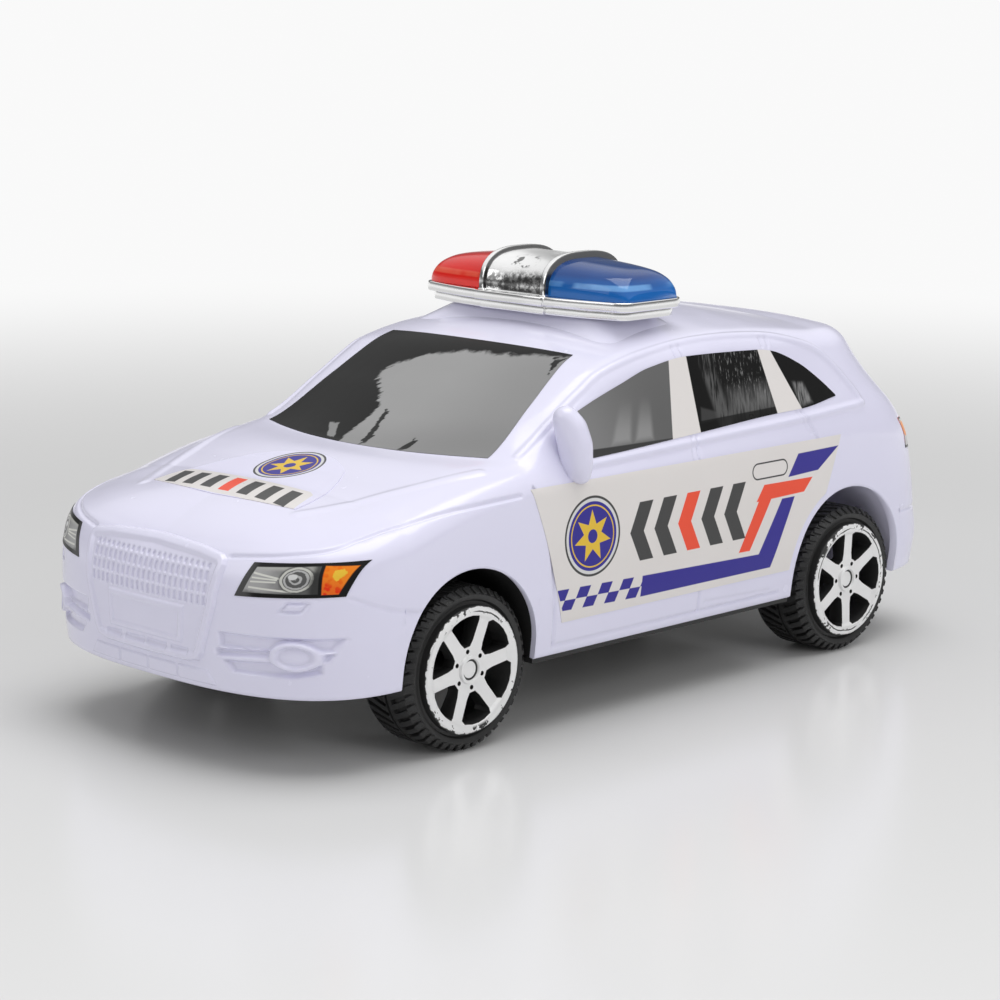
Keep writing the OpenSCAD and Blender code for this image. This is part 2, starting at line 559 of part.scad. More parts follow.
// One wheel, face towards +Z, outer face of the rim at Z 0
spokes = 6;
hub_r = 6;
module pocket() linear_extrude(8, center = true) polygon([
    [rim_r - 9.5, -0.9], [rim_r - 8.2, -2], [rim_r - 4, -4.5], [rim_r - 3, -4.2], [rim_r - 2.3, -2],
    [rim_r - 2.1, 0], [rim_r - 2.3, 2], [rim_r - 3, 4.2], [rim_r - 4, 4.5], [rim_r - 8.2, 2], [rim_r - 9.5, 0.9]]);
module wheel() difference() {
    rotate_extrude($fn = 96) polygon([
        [0, -1.2], [2.4, -1.2], [2.6, -0.5], [3.2, -0.5], [3.4, -1.2],
        [rim_r - 3, -0.8], [rim_r - 2, -0.1], [rim_r - 0.5, 0],
        [rim_r, -0.4], [rim_r + 0.1, -2.2], [mix(rim_r, tyre_r, 0.186), -2.4], [mix(rim_r, tyre_r, 0.28), -1.6],
        [mix(rim_r, tyre_r, 0.558), -1.3],
        [tyre_r - 1.4, -rim_out], [tyre_r - 0.25, -rim_out - 1.2], [tyre_r, -rim_out - 3],
        [tyre_r, -rim_out - tread_w + 2], [tyre_r - 1, -rim_out - tread_w], [rim_r + 1, -rim_out - tread_w],
        [rim_r, -rim_out - tread_w + 3], [rim_r - 0.6, -6], [hub_r, -4.4], [4, -5], [4, -13.5], [0, -13.5]]);
    for (i = [0:spokes - 1]) rotate(i * 360 / spokes) translate([0, 0, -2]) pocket();
    for (i = [0:spokes - 1]) rotate(i * 360 / spokes) translate([4.3, 0, -1])
        cylinder(r = 0.55, h = 2.4, center = true, $fn = 16);
    translate([0, 0, -20]) cylinder(r = axle_r, h = 20 - 3, $fn = 48);
    for (i = [0:tread_bars - 1]) rotate(i * 360 / tread_bars) {
        translate([tyre_r, 0, -rim_out - 2.6]) rotate([24, 0, 0]) cube([2.3, 1.1, 7.2], center = true);
        rotate(180 / tread_bars) translate([tyre_r, 0, -rim_out - tread_w + 4.6]) rotate([-24, 0, 0])
            cube([2.3, 1.1, 6.6], center = true);
    }
    rotate_extrude($fn = 96) translate([tyre_r - 0.7, -rim_out - tread_w / 2]) square([2, 0.8]);
}
module left_wheel(y, turn) translate([wheel_face_x, y, axle_z]) rotate([0, 90, 0]) rotate(turn) wheel();
module right_wheel(y, turn) translate([-wheel_face_x, y, axle_z]) rotate([0, -90, 0]) rotate(turn) wheel();
module front_left_wheel() color([0.1, 0.1, 0.1]) left_wheel(front_axle_y, 189);
module front_right_wheel() color([0.1, 0.1, 0.1]) right_wheel(front_axle_y, 20);
module rear_left_wheel() color([0.1, 0.1, 0.1]) left_wheel(rear_axle_y, 150);
module rear_right_wheel() color([0.1, 0.1, 0.1]) right_wheel(rear_axle_y, 5);

// Friction drive: axle gear, idler, flywheel
pressure = 20;
play = 0.07;
large_r = gear_module * gear_teeth / 2;
small_r = gear_module * pinion_teeth / 2;
centre_gap = large_r + small_r;
large_tip = large_r + 0.65 * gear_module;
small_tip = small_r + 0.9 * gear_module;
flywheel_r = centre_gap - small_tip - gear_gap;
idler_y = rear_axle_y - centre_gap * cos(first_rise);
idler_z = axle_z + centre_gap * sin(first_rise);
fly_y = idler_y - centre_gap * cos(second_rise);
fly_z = idler_z + centre_gap * sin(second_rise);
function roll(a) = tan(a) * 180 / PI - a;
function tooth_half(teeth, r) = let(rp = gear_module * teeth / 2, rb = rp * cos(pressure))
    90 / teeth - play / rp * 180 / PI / 2 + roll(pressure) - (r <= rb ? 0 : roll(acos(rb / r)));
module gear_plan(teeth, over, under) {
    rp = gear_module * teeth / 2;
    ra = rp + over * gear_module;
    rf = rp - under * gear_module;
    flank = [for (i = [0:4]) let(r = mix(max(rf, rp * cos(pressure)), ra, i / 4)) [r, tooth_half(teeth, r)]];
    polygon([for (t = [0:teeth - 1]) each let(c = t * 360 / teeth) concat(
        [[rf * cos(c - flank[0][1] - 0.4), rf * sin(c - flank[0][1] - 0.4)]],
        [for (f = flank) [f[0] * cos(c - f[1]), f[0] * sin(c - f[1])]],
        [for (i = [4:-1:0]) [flank[i][0] * cos(c + flank[i][1]), flank[i][0] * sin(c + flank[i][1])]],
        [[rf * cos(c + flank[0][1] + 0.4), rf * sin(c + flank[0][1] + 0.4)]])]);
}
module large_gear(w) linear_extrude(w) gear_plan(gear_teeth, 0.65, 1.15);
module small_gear(w) linear_extrude(w) gear_plan(pinion_teeth, 0.9, 0.9);
// Along X, with the gear plan in the Y-Z plane: plan X to Y, plan Y to Z
module along_x(x) translate([x, 0, 0]) rotate([90, 0, 90]) children();
// The tooth of each large gear points at the gap of its pinion
module axle_gear() color([0.93, 0.93, 0.9]) translate([0, rear_axle_y, axle_z]) difference() {
    union() {
        along_x(2) rotate(180 - first_rise) large_gear(3);
        along_x(0.8) linear_extrude(stack_half - 2.2) circle(r = 3.2);
    }
    along_x(-7) linear_extrude(18) circle(r = axle_r);
}
module idler_gear() color([0.93, 0.93, 0.9]) translate([0, idler_y, idler_z]) difference() {
    union() {
        along_x(0) rotate(-first_rise + 180 / pinion_teeth) small_gear(5.6);
        along_x(-3) rotate(180 - second_rise) large_gear(3);
    }
    along_x(-4) linear_extrude(12) circle(r = pin_r + run_gap);
}
module idler_shaft() color([0.7, 0.7, 0.72]) translate([0, idler_y, idler_z]) along_x(-case_half)
    linear_extrude(2 * case_half) circle(r = pin_r);
module flywheel() color([0.62, 0.62, 0.64]) translate([0, fly_y, fly_z]) union() {
    along_x(-3.4) rotate(-second_rise + 180 / pinion_teeth) small_gear(4);
    along_x(0.5) linear_extrude(1.2) circle(r = 2.2);
    along_x(1.5) linear_extrude(stack_half - 3.1) circle(r = flywheel_r);
    along_x(-case_half) linear_extrude(2 * case_half) circle(r = pin_r);
}

// Motor case: a tub open to the left, closed by a cover
stack_half = 9.6;
case_half = stack_half + case_wall;
case_cover = stack_half;
case_rear = large_tip + gear_gap + case_wall;
case_mid = case_rear - 0.2;
case_front = flywheel_r + gear_gap - 0.2 + case_wall;
case_tabs = [fly_y - case_front - 5.5, rear_axle_y + case_rear + 4.5];
case_length = rear_axle_y + case_rear - fly_y + case_front;
case_middle_y = (rear_axle_y + case_rear + fly_y - case_front) / 2;
module case_plan(inset) {
    translate([rear_axle_y, axle_z]) circle(r = case_rear - inset, $fn = 64);
    translate([idler_y, idler_z]) circle(r = case_mid - inset, $fn = 64);
    translate([fly_y, fly_z]) circle(r = case_front - inset, $fn = 64);
    polygon([[rear_axle_y, axle_z - case_rear + inset + 0.3], [rear_axle_y, axle_z + case_rear - inset - 0.3],
        [idler_y, idler_z + case_mid - inset - 0.3], [fly_y, fly_z + case_front - inset - 0.3],
        [fly_y, fly_z - case_front + inset + 0.3], [idler_y, idler_z - case_mid + inset + 0.3]]);
}
module shaft_bores() {
    translate([0, rear_axle_y, axle_z]) rotate([0, 90, 0])
        cylinder(r = axle_r + run_gap, h = 40, center = true);
    translate([0, idler_y, idler_z]) rotate([0, 90, 0]) cylinder(r = pin_r, h = 40, center = true);
    translate([0, fly_y, fly_z]) rotate([0, 90, 0]) cylinder(r = pin_r + run_gap, h = 40, center = true);
}
module motor_case() color([0.2, 0.2, 0.22]) difference() {
    union() {
        along_x(-case_half) linear_extrude(case_half + case_cover) case_plan(0);
        translate([-4, case_tabs[0] - 4, sill_z]) cube([8, fly_y - case_tabs[0] + 2, 2]);
        translate([-4, rear_axle_y + 6, sill_z]) cube([8, case_tabs[1] - rear_axle_y - 2, 2]);
    }
    along_x(-case_cover) linear_extrude(2 * case_cover + 1) case_plan(case_wall);
    for (y = case_tabs) translate([0, y, sill_z - 1]) cylinder(r = screw_r + 0.05, h = 4);
    shaft_bores();
}
module motor_cover() color([0.2, 0.2, 0.22]) difference() {
    along_x(case_cover) linear_extrude(case_wall) case_plan(0);
    shaft_bores();
}

// Printed labels
module side_label(columns, rows_of, left) {
    order = left ? [0:len(columns) - 1] : [len(columns) - 1:-1:0];
    function grid(off) = [for (i = order) let(c = columns[i])
        [for (r = rows_of) let(p = side_point(c[0], mix(c[1], c[2], r), off))
            [left ? p[0] : -p[0], p[1], p[2]]]];
    sheet(grid(-label_gap - label_t), grid(-label_gap));
}
// Window edges, measured back from the windscreen corners
// as shares of the way to the rounded tail, and of the way up to the windscreen top
glass_length = fan_rear_y - cowl_y;
function up(t) = mix(belt_front_z, header_z, t);
window_foot = [[0.0756, belt_front_z + 1.3], [0.2185, belt_front_z + 1.8], [0.521, belt_front_z + 3.4],
    [0.7765, belt_rear_z + 1.2], [0.857, belt_rear_z + 1.4], [0.979, belt_rear_z + 3.1]];
window_top = [[0.0756, up(0.214)], [0.1429, up(0.407)], [0.1908, up(0.514)], [0.2521, up(0.621)],
    [0.316, up(0.708)], [0.4118, up(0.827)], [0.5269, up(0.885)], [0.7563, up(0.852)], [0.8017, up(0.823)],
    [0.8824, up(0.667)], [0.9412, up(0.465)], [0.979, up(0.296)]];
window_places = [0.1092, 0.1429, 0.1681, 0.1908, 0.2185, 0.2521, 0.316, 0.3613, 0.4118, 0.4706, 0.5269,
    0.605, 0.6807, 0.7563, 0.8017, 0.8403, 0.8824, 0.916, 0.9454, 0.979];
window_columns = [for (d = window_places)
    [cowl_y + d * glass_length, fair(window_foot, d), fair(window_top, d)]];
window_rows = [0, 0.2, 0.45, 0.7, 1];
// The left labels are notched around the mirror
mirror_gap = 0.2;
module left_window_label() color([0.03, 0.03, 0.03]) difference() {
    side_label(window_columns, window_rows, true);
    mirror_solid(mirror_gap);
}
module right_window_label() color([0.03, 0.03, 0.03]) side_label(window_columns, window_rows, false);

// Door labels keep clear of the rear wheel opening
label_foot_z = low_z - 1.1;
label_head_z = belt_front_z - 2.7;
door_front = [[label_foot_z, cowl_y + 9.8], [mix(label_foot_z, label_head_z, 0.248), cowl_y + 7.6],
    [mix(label_foot_z, label_head_z, 0.624), cowl_y + 4.1], [label_head_z, cowl_y - 0.2]];
function door_rear(z) = z < arch_z + rear_arch_r - 1 ?
    rear_arch_y - sqrt(max(4, pow(rear_arch_r + 2, 2) - pow(z - arch_z, 2))) - 0.3 :
    mix(rear_arch_y - 11, rear_arch_y - 4.2, (z - arch_z - rear_arch_r + 1) / 15);
// The rows follow the edges of the body sections
function door_heights(y) = let(top = fair(shoulder_line, y))
    [label_foot_z, low_z, mix(low_z, mid_z, 0.5), mid_z, mix(mid_z, wide_z, 0.5), wide_z,
        mix(wide_z, top, 0.22), mix(wide_z, top, 0.43), mix(wide_z, top, 0.7), top, label_head_z];
function door_place(t, j) = let(z = door_heights(cowl_y + 50)[j]) mix(fair(door_front, z), door_rear(z), t);
door_parts = [0, 0.1, 0.22, 0.36, 0.5, 0.64, 0.78, 0.9, 1];
module door_label(left) {
    function grid(off) = [for (t = door_parts) [for (j = [0:10])
        let(y = door_place(t, j), p = side_point(y, door_heights(y)[j], off))
            [left ? p[0] : -p[0], p[1], p[2]]]];
    outer = grid(-label_gap - label_t);
    inner = grid(-label_gap);
    n = len(outer) - 1;
    if (left) sheet(outer, inner);
    else sheet([for (i = [n:-1:0]) outer[i]], [for (i = [n:-1:0]) inner[i]]);
}
module left_door_label() color([0.92, 0.9, 0.87]) difference() {
    door_label(true);
    mirror_solid(mirror_gap);
}
module right_door_label() color([0.92, 0.9, 0.87]) door_label(false);

// Labels on the bonnet and the windscreen
screen_foot_half = rail_half - 3.6;
screen_top_half = rail_half - 10.6;
screen_parts = [for (i = [-6:6]) i / 6];
function screen_spot(u, t, off) = let(x = u * mix(screen_foot_half, screen_top_half, t),
    y = mix(cowl_y - 1.5 - screen_bow * (1 - u * u), header_y - header_bow * (1 - u * u), t))
    [x, y, top_z(x, y, off)];
function screen_grid(off) = [for (u = screen_parts) [for (i = [8:-1:0]) screen_spot(u, i / 8, off)]];
module windscreen_label() color([0.03, 0.03, 0.03])
    sheet(screen_grid(-label_gap * 1.3 - label_t * 1.2), screen_grid(-label_gap * 1.3));
bonnet_label_half = 25;
bonnet_label_front = fan_front_y - 14;
bonnet_label_rear = fan_front_y + 18;
bonnet_parts = [for (i = [-7:7]) i / 7];
function bonnet_spot(u, t, off) = let(x = u * bonnet_label_half * (1 - 0.35 * t * t),
    y = mix(bonnet_label_front + 3 * u * u, bonnet_label_rear - 6 * u * u, t)) [x, y, top_z(x, y, off)];
function bonnet_grid(off) = [for (u = bonnet_parts) [for (i = [8:-1:0]) bonnet_spot(u, i / 8, off)]];
module bonnet_label() color([0.95, 0.94, 0.92])
    sheet(bonnet_grid(-label_gap * 1.3 - label_t), bonnet_grid(-label_gap * 1.3));

// Lamp labels and the rear window
module end_label(columns, front, left) {
    function place(c, r, off) = let(x = mix(c[0][0], c[1][0], r), z = mix(c[0][1], c[1][1], r),
        p = front ? nose_point(x, z, off) : tail_point(x, z, off)) [left ? p[0] : -p[0], p[1], p[2]];
    function grid(off) = [for (c = columns) [for (r = [0, 0.25, 0.5, 0.75, 1]) place(c, r, off)]];
    outer = grid(-label_gap - label_t);
    inner = grid(-label_gap);
    n = len(outer) - 1;
    if (left == front) sheet(outer, inner);
    else sheet([for (i = [n:-1:0]) outer[i]], [for (i = [n:-1:0]) inner[i]]);
}
lamp_columns = [for (t = [0:1 / 14:1.001])
    [[half_width - mix(23, 3.8, t), nose_top_z - 10.9 + 1.1 * t],
        [half_width - mix(21.3, 2.8, t), nose_top_z - 3.5 + 1.1 * t]]];
tail_columns = [for (i = [0:14]) let(t = 1 - pow(1 - i / 14, 1.8))
    [[half_width - mix(19.3, 3, t), tail_belt_z - 9.5 + 2.2 * t],
        [half_width - mix(18.3, 4.1, t), tail_belt_z - 1.4 + 2.4 * t]]];
module left_headlamp_label() color([0.75, 0.75, 0.75]) end_label(lamp_columns, true, true);
module right_headlamp_label() color([0.75, 0.75, 0.75]) end_label(lamp_columns, true, false);
module left_tail_lamp_label() color([0.75, 0.1, 0.08]) end_label(tail_columns, false, true);
module right_tail_lamp_label() color([0.75, 0.1, 0.08]) end_label(tail_columns, false, false);
glass_foot_z = tail_belt_z + 4;
glass_top_z = spoiler_z - 4;
glass_parts = [1, 0.85, 0.6, 0.3, 0, -0.3, -0.6, -0.85, -1];
function glass_spot(u, t, off) = let(x = u * (rail_half - mix(8, 15, t)), z = mix(glass_foot_z, glass_top_z, t),
    p = tail_point(max(abs(x), 0.01), z, off)) [x, p[1], z];
function glass_grid(off) = [for (u = glass_parts) [for (i = [0:5]) glass_spot(u, i / 5, off)]];
module rear_window_label() color([0.03, 0.03, 0.03])
    sheet(glass_grid(-label_gap - label_t), glass_grid(-label_gap));

// Light bar
function bar_edge(x, middle, end) =
    mix(middle, end, pow(max(0, abs(x) - arch_half) / (bar_half - arch_half), 1.6));
bar_round = 4.5;
collar_w = 1.8;
module bar_plan(inset) {
    h = bar_half - inset;
    c = bar_round - inset * 0.5;
    sides = [for (i = [0:10]) let(x = (h - c) * (1 - i / 5))
        [x, bar_edge(x, bar_depth - inset, bar_end_depth - inset)]];
    e = sides[0][1];
    turn = [for (a = [15:15:75]) [h - c + c * cos(a), e - c + c * sin(a)]];
    side = concat([[h, e - c]], turn, sides, [for (i = [4:-1:0]) [-turn[i][0], turn[i][1]]], [[-h, e - c]]);
    polygon(concat(side, [for (i = [len(side) - 1:-1:0]) [side[i][0], -side[i][1]]]));
    square([2 * arch_half + 0.6 - inset, 2 * (bar_depth + 0.7 - inset)], center = true);
}
module lightbar_tray() color([0.8, 0.8, 0.82]) translate([0, bar_y, tray_z]) {
    difference() {
        linear_extrude(tray_h) bar_plan(1.6);
        translate([0, 0, 1.2]) linear_extrude(tray_h) bar_plan(3.2);
    }
    for (x = [-12, 12]) translate([x, 0, -5]) cylinder(r = peg_r, h = 6, $fn = 32);
}
// Arch with a flat top and round shoulders
arch_power = 2.8;
function arch_spot(a) = [sign(cos(a)) * pow(abs(cos(a)), 2 / arch_power), pow(max(0, sin(a)), 2 / arch_power)];
module arch_plan(depth, height) polygon([for (a = [0:6:180]) let(p = arch_spot(a))
    [depth * p[0], a == 180 ? 0 : height * p[1]]]);
module lightbar_frame() color([0.8, 0.8, 0.82]) translate([0, bar_y, flange_z]) difference() {
    union() {
        linear_extrude(flange_t) bar_plan(0);
        translate([0, 0, flange_t]) {
            along_x(-arch_half + collar_w) linear_extrude(2 * (arch_half - collar_w))
                arch_plan(bar_depth - 1.6, arch_h - 1.1);
            for (x = [-arch_half, arch_half - collar_w]) along_x(x) linear_extrude(collar_w)
                arch_plan(bar_depth - 0.8, arch_h);
        }
    }
    translate([0, 0, -0.1]) along_x(-arch_half + 1.4) linear_extrude(2 * arch_half - 2.8)
        arch_plan(bar_depth - 3, arch_h - 0.4);
    translate([0, 0, -1]) linear_extrude(flange_t - 0.2) bar_plan(2.6);
}
// Each lens slice: place along the bar, share of the depth, share of the height
function lens_slices(inset) = [[arch_half + inset, 1, 1], [arch_half + 11, 0.93, 0.87],
    [bar_half - 7, 0.86, 0.77], [bar_half - 3.9, 0.8, 0.62], [bar_half - 2.2, 0.74, 0.42],
    [bar_half - 1 - inset, 0.66, 0.14]];
module lens_form(inset) hull() for (f = lens_slices(inset)) along_x(f[0]) linear_extrude(0.01)
    arch_plan((bar_depth - 2.2) * f[1] - inset, lens_h * f[2] - inset * (f[2] > 0.3 ? 1 : 0));
module lens() difference() {
    lens_form(0);
    translate([0, 0, -0.01]) lens_form(lens_wall);
}
module red_lens() color([0.85, 0.08, 0.05, 0.8]) translate([0, bar_y, lens_z]) mirror([1, 0, 0]) lens();
module blue_lens() color([0.05, 0.25, 0.75, 0.8]) translate([0, bar_y, lens_z]) lens();

body_shell();
chassis();
front_axle();
front_left_wheel();
front_right_wheel();
rear_axle();
rear_left_wheel();
rear_right_wheel();
axle_gear();
idler_gear();
idler_shaft();
flywheel();
motor_case();
motor_cover();
motor_screws();
chassis_screws();
windscreen_label();
rear_window_label();
left_window_label();
right_window_label();
left_door_label();
right_door_label();
bonnet_label();
left_headlamp_label();
right_headlamp_label();
left_tail_lamp_label();
right_tail_lamp_label();
lightbar_tray();
lightbar_frame();
red_lens();
blue_lens();
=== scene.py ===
import math

import bmesh
import bpy
from mathutils import Matrix, Vector
from mathutils.bvhtree import BVHTree
from mathutils.kdtree import KDTree


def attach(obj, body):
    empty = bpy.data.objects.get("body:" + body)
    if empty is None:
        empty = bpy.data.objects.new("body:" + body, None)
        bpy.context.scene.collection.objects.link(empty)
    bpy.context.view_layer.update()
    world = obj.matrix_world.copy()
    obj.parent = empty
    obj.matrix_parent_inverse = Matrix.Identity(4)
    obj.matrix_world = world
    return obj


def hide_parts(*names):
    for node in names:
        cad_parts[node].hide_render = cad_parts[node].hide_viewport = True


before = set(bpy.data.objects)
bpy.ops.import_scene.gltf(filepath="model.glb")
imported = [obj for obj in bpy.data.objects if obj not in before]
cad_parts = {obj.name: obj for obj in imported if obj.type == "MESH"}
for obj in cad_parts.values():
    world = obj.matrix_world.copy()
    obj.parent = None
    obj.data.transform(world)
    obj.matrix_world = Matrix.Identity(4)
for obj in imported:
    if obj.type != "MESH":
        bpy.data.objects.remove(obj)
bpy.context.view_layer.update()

# Toy patrol car: moulded skin, printed labels, chrome light bar and foiled wheels.
# All shapes are drawn in millimetres, and the front of the car faces -Y.
per_metre = 1000.0
merge_gap = 0.002

# Main places of the body
nose_y = -119.5
tail_y = 119.5
nose_round = 34.5
tail_round = 47.5
fan_front_y = nose_y + nose_round
fan_rear_y = tail_y - tail_round
front_axle_y = -65.5
rear_axle_y = 74.5
axle_z = 19.2
cowl_y = -47.0
header_y = -12.5
crown_y = 30.0
half_width = 52.3
roof_z = 91.3
sill_z = 18.3
wall = 1.8
nose_reach = 33.6
tail_reach = 47.5
nose_power = 2.8
tail_power = 4.0
rail_power = 3.0
nose_top_z = 51.6
cowl_z = 64.3
header_z = 85.6
belt_z = 61.3
belt_rear_z = 65.0
tail_belt_z = 58.5
spoiler_z = 83.3
rail_half = 42.0
screen_bow = 8.0
front_arch = (-66.6, 21.2)
rear_arch = (72.2, 22.6)
arch_z = 21.8
well_x = 30.0
tread_bars = 46
sill_inset = 0.5
bar_y = 13.0
collar_x = 9.7
collar_outer_x = 11.2
hands = (("left", 1), ("right", -1))
axles = (("front", front_axle_y), ("rear", rear_axle_y))


def mix(a, b, t):
    return a + (b - a) * t


def clamp(t, low=0.0, high=1.0):
    return max(low, min(high, t))


def soft(t):
    t = clamp(t)
    return t * t * (3 - 2 * t)


class Line:
    """A smooth line through a few places, flat beyond its ends."""

    def __init__(self, places):
        self.at = [p[0] for p in places]
        self.value = [p[1] for p in places]
        rise = []
        for k in range(len(places) - 1):
            rise.append((self.value[k + 1] - self.value[k]) / (self.at[k + 1] - self.at[k]))
        self.slope = [rise[0]]
        for a, b in zip(rise, rise[1:]):
            self.slope.append(0.0 if a * b <= 0 else 2 * a * b / (a + b))
        self.slope.append(rise[-1])

    def __call__(self, t):
        if t <= self.at[0]:
            return self.value[0]
        if t >= self.at[-1]:
            return self.value[-1]
        k = 0
        while t > self.at[k + 1]:
            k += 1
        step = self.at[k + 1] - self.at[k]
        u = (t - self.at[k]) / step
        w = 1 - u
        start = self.value[k] * (1 + 2 * u) * w * w + self.slope[k] * step * u * w * w
        return start + self.value[k + 1] * u * u * (3 - 2 * u) - self.slope[k + 1] * step * u * u * w


# Heights and widths of the lines that run along the car
shoulder_line = Line([
    (nose_y, 44), (nose_y + 20, 44.5), (fan_front_y, 49), (front_axle_y, 54), (cowl_y, belt_z - 4.8),
    (crown_y, belt_z - 3.6), (fan_rear_y, belt_rear_z - 8), (fan_rear_y + 24, 52), (tail_y, 48)])
belt_line = Line([
    (nose_y, nose_top_z - 3.3), (nose_y + 20, nose_top_z - 2.1), (fan_front_y, nose_top_z + 2.2),
    (front_axle_y, belt_z - 2.3), (cowl_y, belt_z), (crown_y, belt_z + 2.1), (fan_rear_y, belt_rear_z),
    (fan_rear_y + 24, tail_belt_z + 3), (tail_y, tail_belt_z)])
rail_line = Line([
    (nose_y, nose_top_z), (nose_y + 20, nose_top_z + 1.2), (nose_y + 27, nose_top_z + 2.6),
    (fan_front_y, nose_top_z + 5.6), (fan_front_y + 14, nose_top_z + 8.9), (fan_front_y + 27, cowl_z - 1.3),
    (cowl_y, cowl_z), (cowl_y + 18.8, cowl_z + 10.1), (cowl_y + 25.6, cowl_z + 14.2),
    (header_y - 2, header_z - 3.5), (header_y + 12.3, header_z - 0.5), (crown_y, roof_z - 4.6),
    (crown_y + 15, roof_z - 5.3), (fan_rear_y - 14, spoiler_z + 1.7), (fan_rear_y, spoiler_z + 0.5),
    (tail_y, spoiler_z)])
spine_line = Line([
    (fan_front_y, cowl_z - 5.2), (fan_front_y + 14, cowl_z - 2.6), (fan_front_y + 27, cowl_z - 0.9),
    (cowl_y - 1.5, cowl_z - 0.2), (cowl_y + 1, cowl_z + 0.8), (cowl_y + 19, header_z - 9.4),
    (header_y, header_z), (header_y + 12.5, roof_z - 2.2), (header_y + 27, roof_z - 0.5), (crown_y, roof_z),
    (crown_y + 15, roof_z - 0.4), (fan_rear_y - 15, roof_z - 1.8), (fan_rear_y, roof_z - 4.2)])
rail_width = Line([
    (fan_front_y, rail_half - 2), (fan_front_y + 27, rail_half - 0.5), (cowl_y, rail_half + 1.5),
    (cowl_y + 19, rail_half + 1.3), (header_y + 12, rail_half), (fan_rear_y, rail_half - 0.5)])
bow_line = Line([
    (fan_front_y + 10, 0), (cowl_y, -screen_bow), (cowl_y + 19, -screen_bow * 0.7), (header_y, -3),
    (header_y + 22, 0)])


def reach(side, end, power, turn):
    """Distance from the middle of a rounded end to its edge."""
    across = (math.sin(turn) / side) ** power
    along = (max(math.cos(turn), 0.0) / end) ** power
    return (across + along) ** (-1 / power)


def plan(side, nose, tail, power, s):
    """Where a line that runs around the car lies at station s, seen from above."""
    if s < fan_front_y:
        turn = math.radians(90 * max(s - nose_y, 0.0) / nose_round)
        far = reach(side, nose, nose_power, turn)
        return far * math.sin(turn), fan_front_y - far * math.cos(turn)
    if s > fan_rear_y:
        turn = math.radians(90 * max(tail_y - s, 0.0) / tail_round)
        far = reach(side, tail, power, turn)
        return far * math.sin(turn), fan_rear_y + far * math.cos(turn)
    return side, s


def sill_plan(s):
    """Where the sill lies at station s, seen from above."""
    return plan(half_width - sill_inset, nose_reach, tail_reach - sill_inset, tail_power, s)


# Rows of the skin from the inner edge of its lip to the middle of the roof
LIP_ROWS = 2
LOWER_ROWS = 44
BELT_ROWS = 5
GLASS_ROWS = 18
RAIL_ROWS = 8
TOP_ROWS = 22
lower_start = LIP_ROWS
belt_start = lower_start + LOWER_ROWS
glass_start = belt_start + BELT_ROWS
rail_start = glass_start + GLASS_ROWS
top_start = rail_start + RAIL_ROWS
last_row = top_start + TOP_ROWS


def bezier(a, b, c, d, t):
    w = 1 - t
    return a * (w * w * w) + b * (3 * w * w * t) + c * (3 * w * t * t) + d * (t * t * t)


# How far the lower side lies inside its widest line, at heights from the sill up to the belt
side_heights = (27.0, 33.0, 39.0)
side_insets = (1.3, 0.3, 0.0, 0.0, 0.7, 2.8)
nose_insets = (0.6, 0.0, -0.1, 0.0, 1.0, 3.2)
tail_insets = (0.9, 0.0, 1.6, 2.7, 6.2, 11.5)

# Rounding of the lip, the belt and the roof rail
lip_round = 0.35
lip_lift = 0.3
belt_round = 3.2
rail_round = 4.0
round_share = 0.3
rail_share = 0.1


